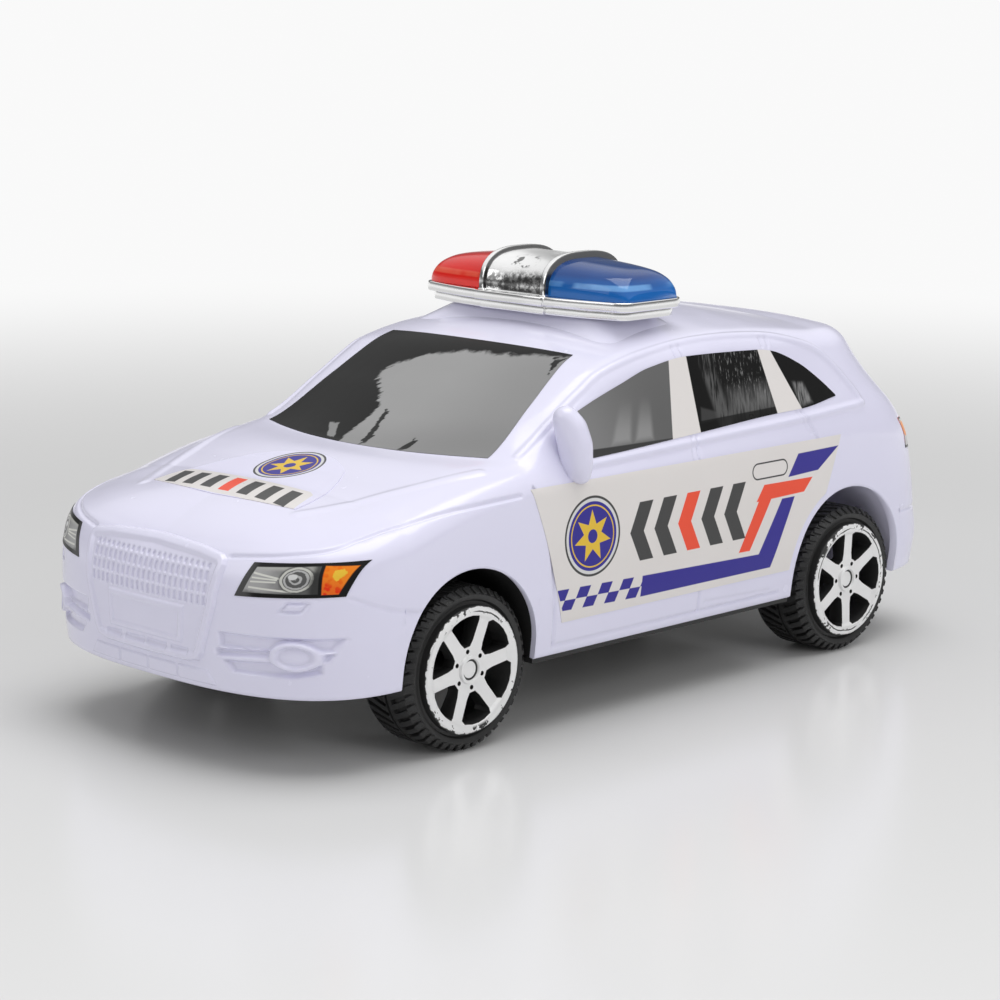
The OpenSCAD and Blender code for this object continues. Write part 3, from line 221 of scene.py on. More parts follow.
class Station:
    """One cross line of the skin, from the sill to the middle of the roof."""

    def __init__(self, s):
        self.s = s
        shoulder = shoulder_line(s)
        belt = belt_line(s)
        heights = [sill_z, *side_heights, shoulder, belt]
        self.side_inset = Line(list(zip(heights, side_insets)))
        self.nose_inset = Line(list(zip(heights, nose_insets)))
        self.tail_inset = Line(list(zip(heights, tail_insets)))
        self.foot = self.find_foot()
        across, along = plan(rail_width(s), nose_reach - 7, tail_reach - 28.5, rail_power, s)
        self.rail = Vector((across, along, rail_line(s)))
        self.spine = Vector((0, clamp(s, fan_front_y, fan_rear_y), spine_line(s)))
        self.bow = bow_line(s)
        self.turn_z = belt - (belt - shoulder) * 0.45
        corner = self.lower(belt)
        self.belt_from = self.lower(self.turn_z)
        heading = (self.belt_from - self.lower(self.turn_z - 0.05)).normalized()
        self.belt_lead = self.belt_from + heading * (corner - self.belt_from).length * 0.6
        rise = self.rail - corner
        size = min(belt_round, round_share * rise.length)
        self.belt_to = corner + rise.normalized() * size
        self.belt_tail = corner + rise.normalized() * size * 0.4
        size = min(rail_round, round_share * rise.length)
        self.rail_from = self.rail - rise.normalized() * size
        self.rail_lead = self.rail - rise.normalized() * size * 0.4
        self.rail_to = self.top(rail_share)
        heading = (self.top(rail_share + 0.001) - self.rail_to).normalized()
        self.rail_tail = self.rail_to - heading * (self.rail_to - self.rail).length * 0.6

    def find_foot(self):
        """Height of the skin's lower edge: the sill, or the edge of a wheel opening."""
        across, along = sill_plan(self.s)
        for middle, radius in (front_arch, rear_arch):
            gap = radius * radius - (along - middle) ** 2
            if gap > 0 and across > 40:
                return arch_z + math.sqrt(gap)
        return sill_z

    def lower(self, z, off=0.0):
        side = half_width - self.side_inset(z) - off
        nose = nose_reach - self.nose_inset(z) - off
        tail = tail_reach - self.tail_inset(z) - off
        across, along = plan(side, nose, tail, tail_power, self.s)
        return Vector((across, along, z))

    def top(self, t):
        place = self.rail.lerp(self.spine, t)
        place.y += self.bow * (1 - (1 - t) ** 2)
        place.z = mix(self.rail.z, self.spine.z, 1 - (1 - t) ** 2.2)
        return place

    def spot(self, v):
        """A place on the cross line, by row number."""
        if v < lower_start:
            if v < 1:
                return self.lower(self.foot, lip_round).lerp(self.lower(self.foot + lip_lift, wall), 1 - v)
            return self.lower(self.foot + lip_round * (v - 1), lip_round * (2 - v))
        if v < belt_start:
            return self.lower(mix(self.foot + lip_round, self.turn_z, (v - lower_start) / LOWER_ROWS))
        if v < glass_start:
            return bezier(self.belt_from, self.belt_lead, self.belt_tail, self.belt_to,
                          (v - belt_start) / BELT_ROWS)
        if v < rail_start:
            return self.belt_to.lerp(self.rail_from, (v - glass_start) / GLASS_ROWS)
        if v < top_start:
            return bezier(self.rail_from, self.rail_lead, self.rail_tail, self.rail_to,
                          (v - rail_start) / RAIL_ROWS)
        return self.top(mix(rail_share, 1.0, clamp((v - top_start) / TOP_ROWS)))


stations = {}


def station(s):
    key = round(s, 4)
    if key not in stations:
        stations[key] = Station(key)
    return stations[key]


def skin(s, v):
    return station(s).spot(v)


def skin_normal(s, v):
    """Outward direction of the skin."""
    step_s = 0.02
    step_v = 0.03
    s = clamp(s, nose_y + step_s, tail_y - step_s)
    v = clamp(v, lower_start + step_v, last_row - step_v)
    along = skin(s + step_s, v) - skin(s - step_s, v)
    up = skin(s, v + step_v) - skin(s, v - step_v)
    return along.cross(up).normalized()


def station_at(y):
    """The station whose lower side lies at place y along the car."""
    if fan_front_y <= y <= fan_rear_y:
        return y
    low, high = (nose_y, fan_front_y) if y < fan_front_y else (fan_rear_y, tail_y)
    for _ in range(40):
        middle = (low + high) / 2
        if sill_plan(middle)[1] < y:
            low = middle
        else:
            high = middle
    return (low + high) / 2


def even(a, b, count):
    return [mix(a, b, k / count) for k in range(count)]


def arch_columns(arch, count):
    """Stations across a wheel opening, close together where its edge stands upright."""
    middle, radius = arch
    beyond = 0.03
    places = [station_at(middle - radius - beyond)]
    for k in range(count + 1):
        along = middle - (radius - 0.001) * math.cos(math.pi * k / count)
        places.append(station_at(along))
    places.append(station_at(middle + radius + beyond))
    return places


# Columns of the skin from the nose to the tail
NOSE_COLUMNS = 58
FRONT_ARCH_COLUMNS = 36
DOOR_COLUMNS = 78
REAR_ARCH_COLUMNS = 38
TAIL_COLUMNS = 44
front_columns = arch_columns(front_arch, FRONT_ARCH_COLUMNS)
rear_columns = arch_columns(rear_arch, REAR_ARCH_COLUMNS)
columns = even(nose_y, front_columns[0], NOSE_COLUMNS) + front_columns
columns += even(front_columns[-1], rear_columns[0], DOOR_COLUMNS)[1:] + rear_columns
columns += even(rear_columns[-1], tail_y, TAIL_COLUMNS)[1:] + [tail_y]


def grid(form, wide, tall):
    """Draws a flat grid and gives each point's share of the way along it and up it."""
    bmesh.ops.create_grid(form, x_segments=wide, y_segments=tall, size=1)
    return {vert: ((vert.co.x + 1) / 2, (vert.co.y + 1) / 2) for vert in form.verts}


def parameter_grid():
    """A flat grid that holds the station and the row of each point of half the skin."""
    form = bmesh.new()
    wide = len(columns) - 1
    for vert, (along, up) in grid(form, wide, last_row).items():
        vert.co = (columns[round(along * wide)], round(up * last_row), 0)
    return form


# A plain copy of half the skin, to lay the moulded lines on
plain = parameter_grid()
plain_spots = [(vert.co.x, vert.co.y) for vert in plain.verts]
for vert in plain.verts:
    vert.co = skin(vert.co.x, vert.co.y)
plain_tree = BVHTree.FromBMesh(plain)
plain_places = [vert.co.copy() for vert in plain.verts]
plain.free()


def seed_tree(keep, pick):
    """Finds the known point of the skin nearest to a place in one of the flat views."""
    chosen = [k for k, spot in enumerate(plain_spots) if keep(*spot)]
    tree = KDTree(len(chosen))
    for k in chosen:
        tree.insert(pick(plain_places[k]), k)
    tree.balance()
    return tree


side_seeds = seed_tree(lambda s, v: lower_start <= v <= top_start and fan_front_y - 5 < s < fan_rear_y + 20,
                       lambda p: (p.y, p.z, 0))
top_seeds = seed_tree(lambda s, v: v >= rail_start, lambda p: (p.x, p.y, 0))
nose_seeds = seed_tree(lambda s, v: v >= lower_start and s < fan_front_y, lambda p: (p.x, p.z, 0))
tail_seeds = seed_tree(lambda s, v: v >= lower_start and s > fan_rear_y, lambda p: (p.x, p.z, 0))


def on_skin(seeds, axes, a, b):
    """The station and row where the skin meets two of its three coordinates."""
    first, second = axes
    step = 0.01
    farthest = 3
    _, k, _ = seeds.find((a, b, 0))
    s, v = plain_spots[k]
    for _ in range(7):
        here = skin(s, v)
        miss_a = a - here[first]
        miss_b = b - here[second]
        if abs(miss_a) + abs(miss_b) < 0.002:
            break
        step_s = step if s < tail_y - 2 * step else -step
        step_v = step if v < last_row - 2 * step else -step
        by_s = (skin(s + step_s, v) - here) / step_s
        by_v = (skin(s, v + step_v) - here) / step_v
        size = by_s[first] * by_v[second] - by_v[first] * by_s[second]
        if abs(size) < 1e-6:
            break
        move_s = (miss_a * by_v[second] - miss_b * by_v[first]) / size
        move_v = (miss_b * by_s[first] - miss_a * by_s[second]) / size
        s = clamp(s + clamp(move_s, -farthest, farthest), nose_y, tail_y)
        v = clamp(v + clamp(move_v, -farthest, farthest), lower_start, last_row)
    return s, v


class Trace:
    """A groove or bead that runs along the skin."""

    def __init__(self, places, half, height):
        self.half = half
        self.height = height
        spots = [Vector(p) for p in places]
        fine = []
        for k in range(len(spots) - 1):
            before = spots[max(k - 1, 0)]
            after = spots[min(k + 2, len(spots) - 1)]
            a, b = spots[k], spots[k + 1]
            count = max(2, int((b - a).length / 0.2))
            lead = (b - before) / 6
            trail = (after - a) / 6
            for i in range(count):
                fine.append(bezier(a, a + lead, b - trail, b, i / count))
        fine.append(spots[-1])
        self.tree = KDTree(len(fine))
        for k, spot in enumerate(fine):
            self.tree.insert(plain_tree.find_nearest(spot)[0], k)
        self.tree.balance()

    def distance(self, place):
        return self.tree.find(place)[2]

    def rise(self, place):
        far = self.distance(place) / self.half
        if far >= 1:
            return 0.0
        return self.height * (1 - far * far) ** 2


# Moulded lines of the body, as places on its left side
traces = {
    "bonnet_gap": Trace([
        (24.0, -113.7, 48.3), (34.7, -110.0, 49.6), (43.3, -103.1, 50.9), (45.8, -95.6, 52.8),
        (46.8, -87.5, 54.3), (48.8, -77.2, 55.9), (50.5, -63.2, 57.0), (51.0, -50.7, 57.5)], 0.85, -0.5),
    "bonnet_ridge": Trace([
        (27.0, -97.0, 55.0), (32.4, -86.2, 57.7), (35.8, -77.1, 59.5), (39.4, -68.1, 61.1),
        (43.2, -55.9, 62.7)], 2.2, 0.3),
    "front_bumper_gap": Trace([
        (49.0, -101.6, 41.3), (51.7, -94.0, 38.3), (52.3, -86.6, 36.4), (52.3, -82.4, 35.8)], 0.7, -0.25),
    "front_door_gap": Trace([
        (51, -46, 59), (52.2, -41.7, 45), (52.3, -40.1, 34), (51.5, -39.4, 20.6)], 0.65, -0.5),
    "door_foot": Trace([(51.5, -39.4, 20.6), (51.5, 0, 20.6), (51.5, 44, 20.6)], 0.6, -0.35),
    "middle_door_gap": Trace([
        (51.5, 12.7, 20.6), (52.3, 12.6, 40), (51, 12.2, 58), (49.6, 13.3, 64)], 0.6, -0.45),
    "front_frame_edge": Trace([(51.6, 10.2, 58.6), (51, 10.4, 60), (49.6, 11.3, 64)], 0.55, -0.3),
    "rear_door_gap": Trace([
        (49, 54.5, 66), (51, 58.4, 59), (52.2, 61.4, 47.4), (52.3, 61.2, 44)], 0.6, -0.4),
    "rear_frame_edge": Trace([(49, 52.6, 66), (51, 56.2, 60)], 0.5, -0.25),
    "rear_sill_line": Trace([(52.1, 15.2, 22.4), (52.1, 30, 21.9), (52.1, 40, 21.6)], 0.7, -0.2),
    "front_rail_split": Trace([(42.3, 12.2, 82.6), (41.2, 12.4, 85.4)], 0.5, -0.35),
    "front_rail_end": Trace([(42.3, 14.6, 82.6), (41.2, 14.8, 85.4)], 0.5, -0.35),
    "rear_rail_split": Trace([(42.2, 45.6, 82.2), (41.4, 45.8, 84.8)], 0.5, -0.35),
    "rear_rail_end": Trace([(42.2, 48, 82), (41.4, 48.2, 84.6)], 0.5, -0.35),
    "window_rail": Trace([
        (43.5, -44, 65.4), (42.2, -28, 73.9), (42, -21.1, 77.9), (41.7, -13.7, 81.5), (41, 1.2, 84.6),
        (40.4, 16.6, 86.2), (40.6, 31.6, 86.4), (40.7, 47.3, 85.3), (41.9, 58.1, 83.2), (43.6, 68.5, 79),
        (47.2, 77, 69.9), (48.8, 79.4, 66)], 1.5, 0.5),
    "waist_rail": Trace([
        (49.6, -27, 61.6), (49.6, 14.1, 62.9), (49.6, 53.3, 64.1), (49, 80, 65.3)], 1.3, 0.55),
    "tailgate_gap": Trace([
        (38, 103, 59.5), (38.5, 111, 48), (36, 116, 42), (18, 119, 40.8), (0, 119.3, 40.6)], 0.7, -0.4),
    "rear_bumper_gap": Trace([
        (51, 95, 35), (44, 113, 34.4), (28, 117.5, 34), (0, 118.5, 34)], 0.7, -0.35),
}

# Fog lamp slots and washer flap, by width and height on the nose
fog_slots = [
    [(23.6, 31.9), (48.9, 32.3), (47.6, 29.7), (23.9, 28.9)],
    [(22.8, 28.0), (37.0, 29.3), (36.7, 27.9), (23.0, 26.7)],
    [(44.1, 28.4), (47.5, 28.8), (46.6, 27.4), (44.7, 27.0)],
    [(25.0, 25.7), (37.5, 26.5), (40.7, 25.0), (45.6, 26.5), (45.5, 24.7), (41.1, 23.6), (27.0, 23.6)]]
washer_flap = [(40.0, 40.1), (43.7, 40.2), (42.4, 38.3), (38.4, 38.1)]
fog_ring = (41.1, 28.2)
fog_ring_size = (4.0, 2.7)
fog_slot_sink = 1.3
flap_sink = 0.6
ring_rise = 0.7
bowl_sink = 1.05
bulb_rise = 0.4


def edge_distance(corners, x, z):
    """Distance to the edge of a flat shape, negative inside it."""
    best = 1e9
    inside = False
    for k in range(len(corners)):
        ax, az = corners[k]
        bx, bz = corners[(k + 1) % len(corners)]
        run, rise = bx - ax, bz - az
        t = clamp(((x - ax) * run + (z - az) * rise) / (run * run + rise * rise))
        best = min(best, math.hypot(x - ax - run * t, z - az - rise * t))
        if (az > z) != (bz > z) and x < ax + run * (z - az) / rise:
            inside = not inside
    return -best if inside else best


def nose_relief(place):
    """Height of the fog lamp slots, rings and washer flaps over the plain skin."""
    if place.y > -90 or not 20 < place.x < 50 or not 21 < place.z < 41:
        return 0.0
    rise = 0.0
    for slot in fog_slots:
        rise = min(rise, -fog_slot_sink * soft(0.5 - edge_distance(slot, place.x, place.z)))
    flap = edge_distance(washer_flap, place.x, place.z)
    rise -= flap_sink * soft(1 - abs(flap) / 0.6)
    across = (place.x - fog_ring[0]) / fog_ring_size[0]
    up = (place.z - fog_ring[1]) / fog_ring_size[1]
    far = math.hypot(across, up)
    if far < 1.45:
        ring = ring_rise * soft((1.38 - far) / 0.3)
        rise = rise * soft((far - 1.1) / 0.3) + ring
        rise -= bowl_sink * soft((0.96 - far) / 0.24)
        rise += bulb_rise * max(0.0, 1 - (far / 0.74) ** 2)
    return rise


def relief(place):
    """Height of all moulded lines over the plain skin."""
    return sum(trace.rise(place) for trace in traces.values()) + nose_relief(place)


def near_relief(place):
    """Whether a place lies close to a moulded line or to the fog lamps."""
    if place.y < -92 and 21 < place.x < 49 and 21.5 < place.z < 40.8:
        return True
    return any(trace.distance(place) < trace.half + 0.5 for trace in traces.values())


class Value:
    """A value between nodes: operators on it add Math nodes."""

    def __init__(self, nodes, socket):
        self.nodes = nodes
        self.socket = socket

    def math(self, operation, *others):
        inputs = {0: self}
        for k, other in enumerate(others):
            inputs[k + 1] = other
        return self.nodes.node("ShaderNodeMath", {"operation": operation}, inputs)

    def __add__(self, other):
        return self.math("ADD", other)

    __radd__ = __add__

    def __sub__(self, other):
        return self.math("SUBTRACT", other)

    def __rsub__(self, other):
        return self.nodes.node("ShaderNodeMath", {"operation": "SUBTRACT"}, {0: other, 1: self})

    def __mul__(self, other):
        return self.math("MULTIPLY", other)

    __rmul__ = __mul__

    def __truediv__(self, other):
        return self.math("DIVIDE", other)

    def __rtruediv__(self, other):
        return self.nodes.node("ShaderNodeMath", {"operation": "DIVIDE"}, {0: other, 1: self})

    def __pow__(self, other):
        return self.math("POWER", other)

    def __abs__(self):
        return self.math("ABSOLUTE")

    def low(self, other):
        return self.math("MINIMUM", other)

    def high(self, other):
        return self.math("MAXIMUM", other)


class Nodes:
    """The nodes of a material or of the world."""

    def __init__(self, tree):
        self.tree = tree

    def existing(self, kind):
        return next(node for node in self.tree.nodes if node.type == kind)

    def node(self, kind, settings=None, inputs=None, output=0):
        made = self.tree.nodes.new(kind)
        for name, value in (settings or {}).items():
            if name == "stops":
                elements = made.color_ramp.elements
                for k, (place, shade) in enumerate(value):
                    stop = elements[k] if k < 2 else elements.new(place)
                    stop.position = place
                    stop.color = shade
            else:
                setattr(made, name, value)
        for name, value in (inputs or {}).items():
            self.feed(made.inputs[name], value)
        return Value(self, made.outputs[output])

    def feed(self, socket, value):
        if isinstance(value, Value):
            self.tree.links.new(value.socket, socket)
        else:
            socket.default_value = value

    def split(self, vector):
        parts = self.node("ShaderNodeSeparateXYZ", inputs={0: vector}).socket.node
        return [Value(self, part) for part in parts.outputs]

    def blend(self, share, under, over):
        return self.node("ShaderNodeMix", {"data_type": "RGBA"}, {0: share, 6: under, 7: over}, 2)

    def paint(self, under, *layers):
        """Lays colours over each other, each with its share."""
        for share, over in layers:
            under = self.blend(share, under, over)
        return under


class Finish(Nodes):
    """A material built from nodes."""

    def __init__(self, name, **constants):
        self.material = bpy.data.materials.new(name)
        self.material.use_nodes = True
        super().__init__(self.material.node_tree)
        self.surface = self.existing("BSDF_PRINCIPLED")
        self.set(**constants)

    def set(self, **inputs):
        for name, value in inputs.items():
            self.feed(self.surface.inputs[name.replace("_", " ")], value)

    def spot(self):
        return self.node("ShaderNodeTexCoord", output="Object")

    def place(self):
        """Object coordinates in millimetres."""
        return [part * per_metre for part in self.split(self.spot())]

    def ramp(self, value, start, end):
        """0 before start, 1 after end."""
        inputs = {"Value": value, "From Min": start, "From Max": end}
        return self.node("ShaderNodeMapRange", {"interpolation_type": "SMOOTHSTEP"}, inputs)

    def noise(self, scale, detail=2.0, roughness=0.5, vector=None):
        inputs = {"Scale": scale, "Detail": detail, "Roughness": roughness}
        inputs["Vector"] = vector or self.spot()
        return self.node("ShaderNodeTexNoise", inputs=inputs)

    def sheet_place(self):
        """Place on a printed label, 0 to 1 along it and up it."""
        return self.split(self.node("ShaderNodeUVMap", {"uv_map": "print"}))[:2]

    def flat(self, across, up):
        """A flat place as a vector, for area() and far()."""
        return self.node("ShaderNodeCombineXYZ", inputs={0: across, 1: up, 2: 1.0})

    def vector(self, operation, a, b=None, output=0):
        inputs = {0: a}
        if b is not None:
            inputs[1] = b
        return self.node("ShaderNodeVectorMath", {"operation": operation}, inputs, output)

    def depth(self, flat, corners):
        """Depth inside a flat shape with straight sides and no hollows."""
        middle_a = sum(a for a, b in corners) / len(corners)
        middle_b = sum(b for a, b in corners) / len(corners)
        inside = None
        for k in range(len(corners)):
            a0, b0 = corners[k]
            a1, b1 = corners[(k + 1) % len(corners)]
            size = math.hypot(a1 - a0, b1 - b0)
            lean = ((b0 - b1) / size, (a1 - a0) / size)
            level = -lean[0] * a0 - lean[1] * b0
            sign = 1 if lean[0] * middle_a + lean[1] * middle_b + level > 0 else -1
            edge = self.vector("DOT_PRODUCT", flat, (lean[0] * sign, lean[1] * sign, level * sign), 1)
            inside = edge if inside is None else inside.low(edge)
        return inside

    def area(self, flat, corners, blur=0.1):
        return self.ramp(self.depth(flat, corners), -blur, blur)

    def far(self, flat, middle, size=(1.0, 1.0)):
        """Distance from the middle of an ellipse, 1 at its edge."""
        offset = self.vector("SUBTRACT", flat, (middle[0], middle[1], 1.0))
        shape = self.vector("MULTIPLY", offset, (1 / size[0], 1 / size[1], 0.0))
        return self.vector("LENGTH", shape, output=1)

    def streaks(self, flat, along, across, lean, detail=4.0):
        """Noise drawn out along one direction of a flat place."""
        rotation = (0.0, 0.0, math.radians(lean))
        turned = self.node("ShaderNodeMapping", inputs={"Vector": flat, "Rotation": rotation})
        drawn = self.vector("MULTIPLY", turned, (across, along, 0.0))
        return self.noise(1.0, detail, 0.6, drawn)

    def star(self, flat, middle, points, outer, inner):
        """A star of straight edges."""
        offset = self.vector("SUBTRACT", flat, (middle[0], middle[1], 1.0))
        across, up, _ = self.split(offset)
        reach_out = (across * across + up * up) ** 0.5
        turn = across.math("ARCTAN2", up).math("PINGPONG", math.pi / points)
        notch = (inner * math.cos(math.pi / points), inner * math.sin(math.pi / points))
        size = math.hypot(notch[0] - outer, notch[1])
        lean = (-notch[1] / size, (notch[0] - outer) / size)
        along = turn.math("COSINE") * reach_out
        aside = turn.math("SINE") * reach_out
        edge = (along - outer) * lean[0] + aside * lean[1]
        return self.ramp(edge, -0.06, 0.06)

    def bars(self, step, count, half):
        """A row of bars, one to each whole step."""
        bar = self.ramp(abs(step.math("FRACT") - 0.5), half + 0.01, half - 0.01)
        return bar * self.ramp(step, 0.0, 0.02) * self.ramp(step, count, count - 0.02)

    def cells(self, scale):
        return self.node("ShaderNodeTexVoronoi", inputs={"Vector": self.spot(), "Scale": scale})

    def bump(self, height, strength, distance):
        inputs = {"Height": height, "Strength": strength, "Distance": distance}
        self.set(Normal=self.node("ShaderNodeBump", inputs=inputs))


def colour(red, green, blue):
    return (red, green, blue, 1.0)


def grey(level):
    return (level, level, level, 1.0)


# Finishes of the mouldings
body_tint = colour(0.7, 0.686, 0.85)
body_pale = colour(0.75, 0.74, 0.89)


def moulded_white():
    finish = Finish("moulded_white", Coat_Weight=0.35, Coat_Roughness=0.06)
    cloud = finish.noise(28.0, 3.0)
    finish.set(Base_Color=finish.blend(cloud, body_tint, body_pale))
    finish.set(Roughness=finish.noise(160.0, 4.0) * 0.1 + 0.2)
    finish.bump(finish.noise(900.0, 2.0), 0.04, 0.0002)
    return finish.material


def black_moulding(name, level, rough):
    finish = Finish(name)
    cloud = finish.noise(60.0, 3.0)
    finish.set(Base_Color=finish.blend(cloud, grey(level * 0.8), grey(level * 1.3)))
    finish.set(Roughness=finish.noise(240.0, 4.0) * 0.2 + rough)
    finish.bump(finish.noise(1500.0, 3.0), 0.12, 0.0002)
    return finish.material


def steel_wire():
    finish = Finish("steel_wire", Metallic=1.0)
    streak = finish.noise(420.0, 3.0)
    finish.set(Base_Color=finish.blend(streak, grey(0.5), grey(0.68)))
    finish.set(Roughness=streak * 0.2 + 0.22)
    finish.bump(streak, 0.08, 0.0001)
    return finish.material


def gear_white():
    finish = Finish("gear_white")
    cloud = finish.noise(90.0, 3.0)
    finish.set(Base_Color=finish.blend(cloud, colour(0.78, 0.77, 0.7), colour(0.86, 0.85, 0.8)))
    finish.set(Roughness=cloud * 0.15 + 0.35)
    finish.bump(finish.noise(1200.0), 0.06, 0.0002)
    return finish.material


def plated_chrome(name, worn):
    """Bright plating; with the flag set, dark mottling low on the front is partly wear of the plating and
    partly painted dark reflection, dark flecks lie on the top, and painted shade lines the collars.
    """
    finish = Finish(name, Metallic=1.0)
    cloud = finish.noise(70.0, 3.0)
    shine = finish.blend(cloud, grey(0.8), grey(0.93))
    if worn:
        x, y, z = finish.place()
        flange_z = 96.3
        mottling_z = 100.0
        crest_z = 103.6
        crest_size = (5.4, 1.5)
        # Dark mottling low on the front: partly wear of the plating, partly painted dark reflection.
        speck = finish.ramp(finish.noise(620.0, 5.0, 0.7), 0.4, 0.56)
        above = finish.ramp(z, flange_z, flange_z + 0.4)
        low = above * finish.ramp(z + (cloud - 0.5) * 4.0, mottling_z + 2.0, mottling_z) * finish.ramp(y, 6.0, 2.0)
        low = low * finish.ramp(abs(x), collar_x - 0.1, collar_x - 0.5)
        # Painted shade: dark lines at the inner corners of the collars and along their outer edges.
        crease_shade = finish.ramp(abs(abs(x) - collar_x), 0.3, 0.18)
        crease_shade = above * crease_shade.high(finish.ramp(abs(x), collar_outer_x, collar_outer_x + 0.15))
        crest = finish.ramp(finish.far(finish.flat(x, z), (0.0, crest_z), crest_size), 1.1, 0.7)
        fleck = finish.ramp(finish.noise(300.0, 4.0, 0.6), 0.55, 0.6)
        shine = finish.paint(shine, (low * speck * 0.85, grey(0.1)), (crest * fleck * 0.9, grey(0.05)),
                             (crease_shade * 0.85, grey(0.04)))
        scuffed = finish.ramp(z + (cloud - 0.5) * 2.0, mottling_z + 1.0, mottling_z + 2.6)
        finish.set(Metallic=1.0 - scuffed * 0.75)
    finish.set(Base_Color=shine)
    finish.set(Roughness=finish.noise(300.0, 3.0) * 0.08 + 0.09)
    finish.bump(finish.noise(120.0, 2.0), 0.12, 0.0006)
    return finish.material


def clear_tint(name, deep, tint, pale):
    """Tinted clear moulding with painted light: paler low down where the light gathers, a pale band of
    painted reflection across the middle, and painted shade along the top.
    """
    finish = Finish(name, Transmission_Weight=0.1, IOR=1.46, Coat_Roughness=0.03, Specular_IOR_Level=0.35)
    _, _, z = finish.place()
    foot_z = 97.0
    band_z = 99.4
    crown_z = 101.8
    cloud = finish.noise(60.0, 2.0)
    # Painted light: the paler lower part and the pale band stand in for light gathered and reflected in the
    # lens; the darker top is painted shade.
    low = finish.ramp(z + (cloud - 0.5) * 1.5, foot_z + 4.2, foot_z)
    band = finish.ramp(abs(z - band_z), 0.9, 0.4) * finish.ramp(finish.noise(90.0, 2.0), 0.36, 0.54)
    top_shade = finish.ramp(z + (cloud - 0.5) * 1.2, crown_z - 1.4, crown_z)
    body = finish.blend(cloud, deep, tint)
    finish.set(Base_Color=finish.paint(body, (low * 0.75, tint), (top_shade * 0.6, deep), (band * 0.7, pale)))
    finish.set(Roughness=finish.noise(200.0, 3.0) * 0.05 + 0.04)
    finish.set(Coat_Weight=finish.noise(30.0, 2.0) * 0.15 + 0.2)
    return finish.material


def foiled_wheel(name, middle_y):
    """Black moulding with a bright foil on its face, worn along the rim."""
    finish = Finish(name)
    x, y, z = finish.place()
    face_x = 49.2
    foil_r = 14.6
    rub_r = 13.6
    hub_r = 3.7
    hub_ring_r = 2.2
    far = ((y - middle_y) ** 2.0 + (z - axle_z) ** 2.0) ** 0.5
    facing = abs(finish.split(finish.node("ShaderNodeTexCoord", output="Normal"))[0])
    rag = finish.noise(900.0, 4.0, 0.6)
    wander = finish.noise(190.0, 3.0, 0.6)
    face = finish.ramp(facing, 0.62, 0.7).high(finish.ramp(far, hub_r + 0.05, hub_r - 0.05))
    face = face * finish.ramp(abs(x), face_x, face_x + 0.2)
    edge = finish.ramp(far + (rag - 0.5) + (wander - 0.5) * 1.3, foil_r + 0.15, foil_r)
    outer = finish.ramp(far, 12.9, 13.7)
    chips = finish.ramp(rag * 0.5 + wander * 0.62, 0.625, 0.645)
    rub = finish.ramp(abs(far - rub_r + (wander - 0.5) * 1.2), 0.2, 0.1)
    rub = rub * finish.ramp(finish.noise(70.0), 0.5, 0.54)
    foil = face * edge * (1.0 - outer * chips) * (1.0 - rub)
    foil = foil * (1.0 - finish.ramp(abs(far - hub_ring_r), 0.27, 0.2))
    black = finish.blend(wander, grey(0.014), grey(0.028))
    silver = finish.blend(wander, grey(0.8), grey(0.87))
    finish.set(Base_Color=finish.blend(foil, black, silver))
    finish.set(Metallic=foil * 0.25)
    finish.set(Roughness=0.46 - foil * 0.16 + (rag - 0.5) * 0.06)
    finish.bump(rag, 0.03, 0.0001)
    return finish.material


white_plastic = moulded_white()
black_plastic = black_moulding("black_plastic", 0.022, 0.42)
case_plastic = black_moulding("case_plastic", 0.05, 0.45)
well_shade_black = black_moulding("well_shade_black", 0.012, 0.5)
tyre_black = black_moulding("tyre_black", 0.02, 0.4)
steel = steel_wire()
gear_plastic = gear_white()
chrome = plated_chrome("plated_chrome", False)
worn_shaded_chrome = plated_chrome("worn_shaded_chrome", True)
# The last colour of each lens is the colour of its painted reflection band.
red_clear = clear_tint(
    "red_clear", colour(0.7, 0.006, 0.004), colour(0.92, 0.018, 0.01), colour(0.97, 0.17, 0.1))
blue_clear = clear_tint(
    "blue_clear", colour(0.004, 0.036, 0.19), colour(0.012, 0.16, 0.54), colour(0.2, 0.47, 0.88))


def piece(name, form, body, finish, nodes=(), sharp=40.0):
    """Makes a piece from a bmesh drawn in millimetres and lets it ride on a body."""
    bmesh.ops.scale(form, vec=(1 / per_metre,) * 3, verts=form.verts)
    mesh = bpy.data.meshes.new(name)
    form.to_mesh(mesh)
    form.free()
    mesh.materials.append(finish)
    mesh.shade_smooth()
    mesh.set_sharp_from_angle(angle=math.radians(sharp))
    thing = bpy.data.objects.new(name, mesh)
    bpy.context.scene.collection.objects.link(thing)
    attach(thing, body)
    if nodes:
        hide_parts(*nodes)
    return thing


def mirrored(form):
    """Adds the right half of a piece drawn for the left."""
    half = form.verts[:] + form.edges[:] + form.faces[:]
    bmesh.ops.mirror(form, geom=half, axis="X", merge_dist=merge_gap)
    bmesh.ops.remove_doubles(form, verts=form.verts, dist=merge_gap)
    bmesh.ops.recalc_face_normals(form, faces=form.faces)


def bevel(form, edges, width, segments, clamped=False):
    bmesh.ops.bevel(form, geom=edges, offset=width, segments=segments, profile=0.5, affect="EDGES",
                    material=-1, clamp_overlap=clamped)


# The body skin
def body_skin():
    form = parameter_grid()
    close = set()
    for face in form.faces:
        middle = face.calc_center_median()
        if middle.y > lower_start and near_relief(skin(middle.x, middle.y)):
            close.update(face.edges)
    bmesh.ops.subdivide_edges(form, edges=list(close), cuts=2, use_grid_fill=True)
    for vert in form.verts:
        s, v = vert.co.x, vert.co.y
        place = skin(s, v)
        rise = relief(place) if v > lower_start else 0.0
        if abs(rise) > 0.001:
            place = place + skin_normal(s, v) * rise
        vert.co = place
    mirrored(form)
    piece("body_skin", form, "car", white_plastic, ["body_shell"], 50.0)


body_skin()


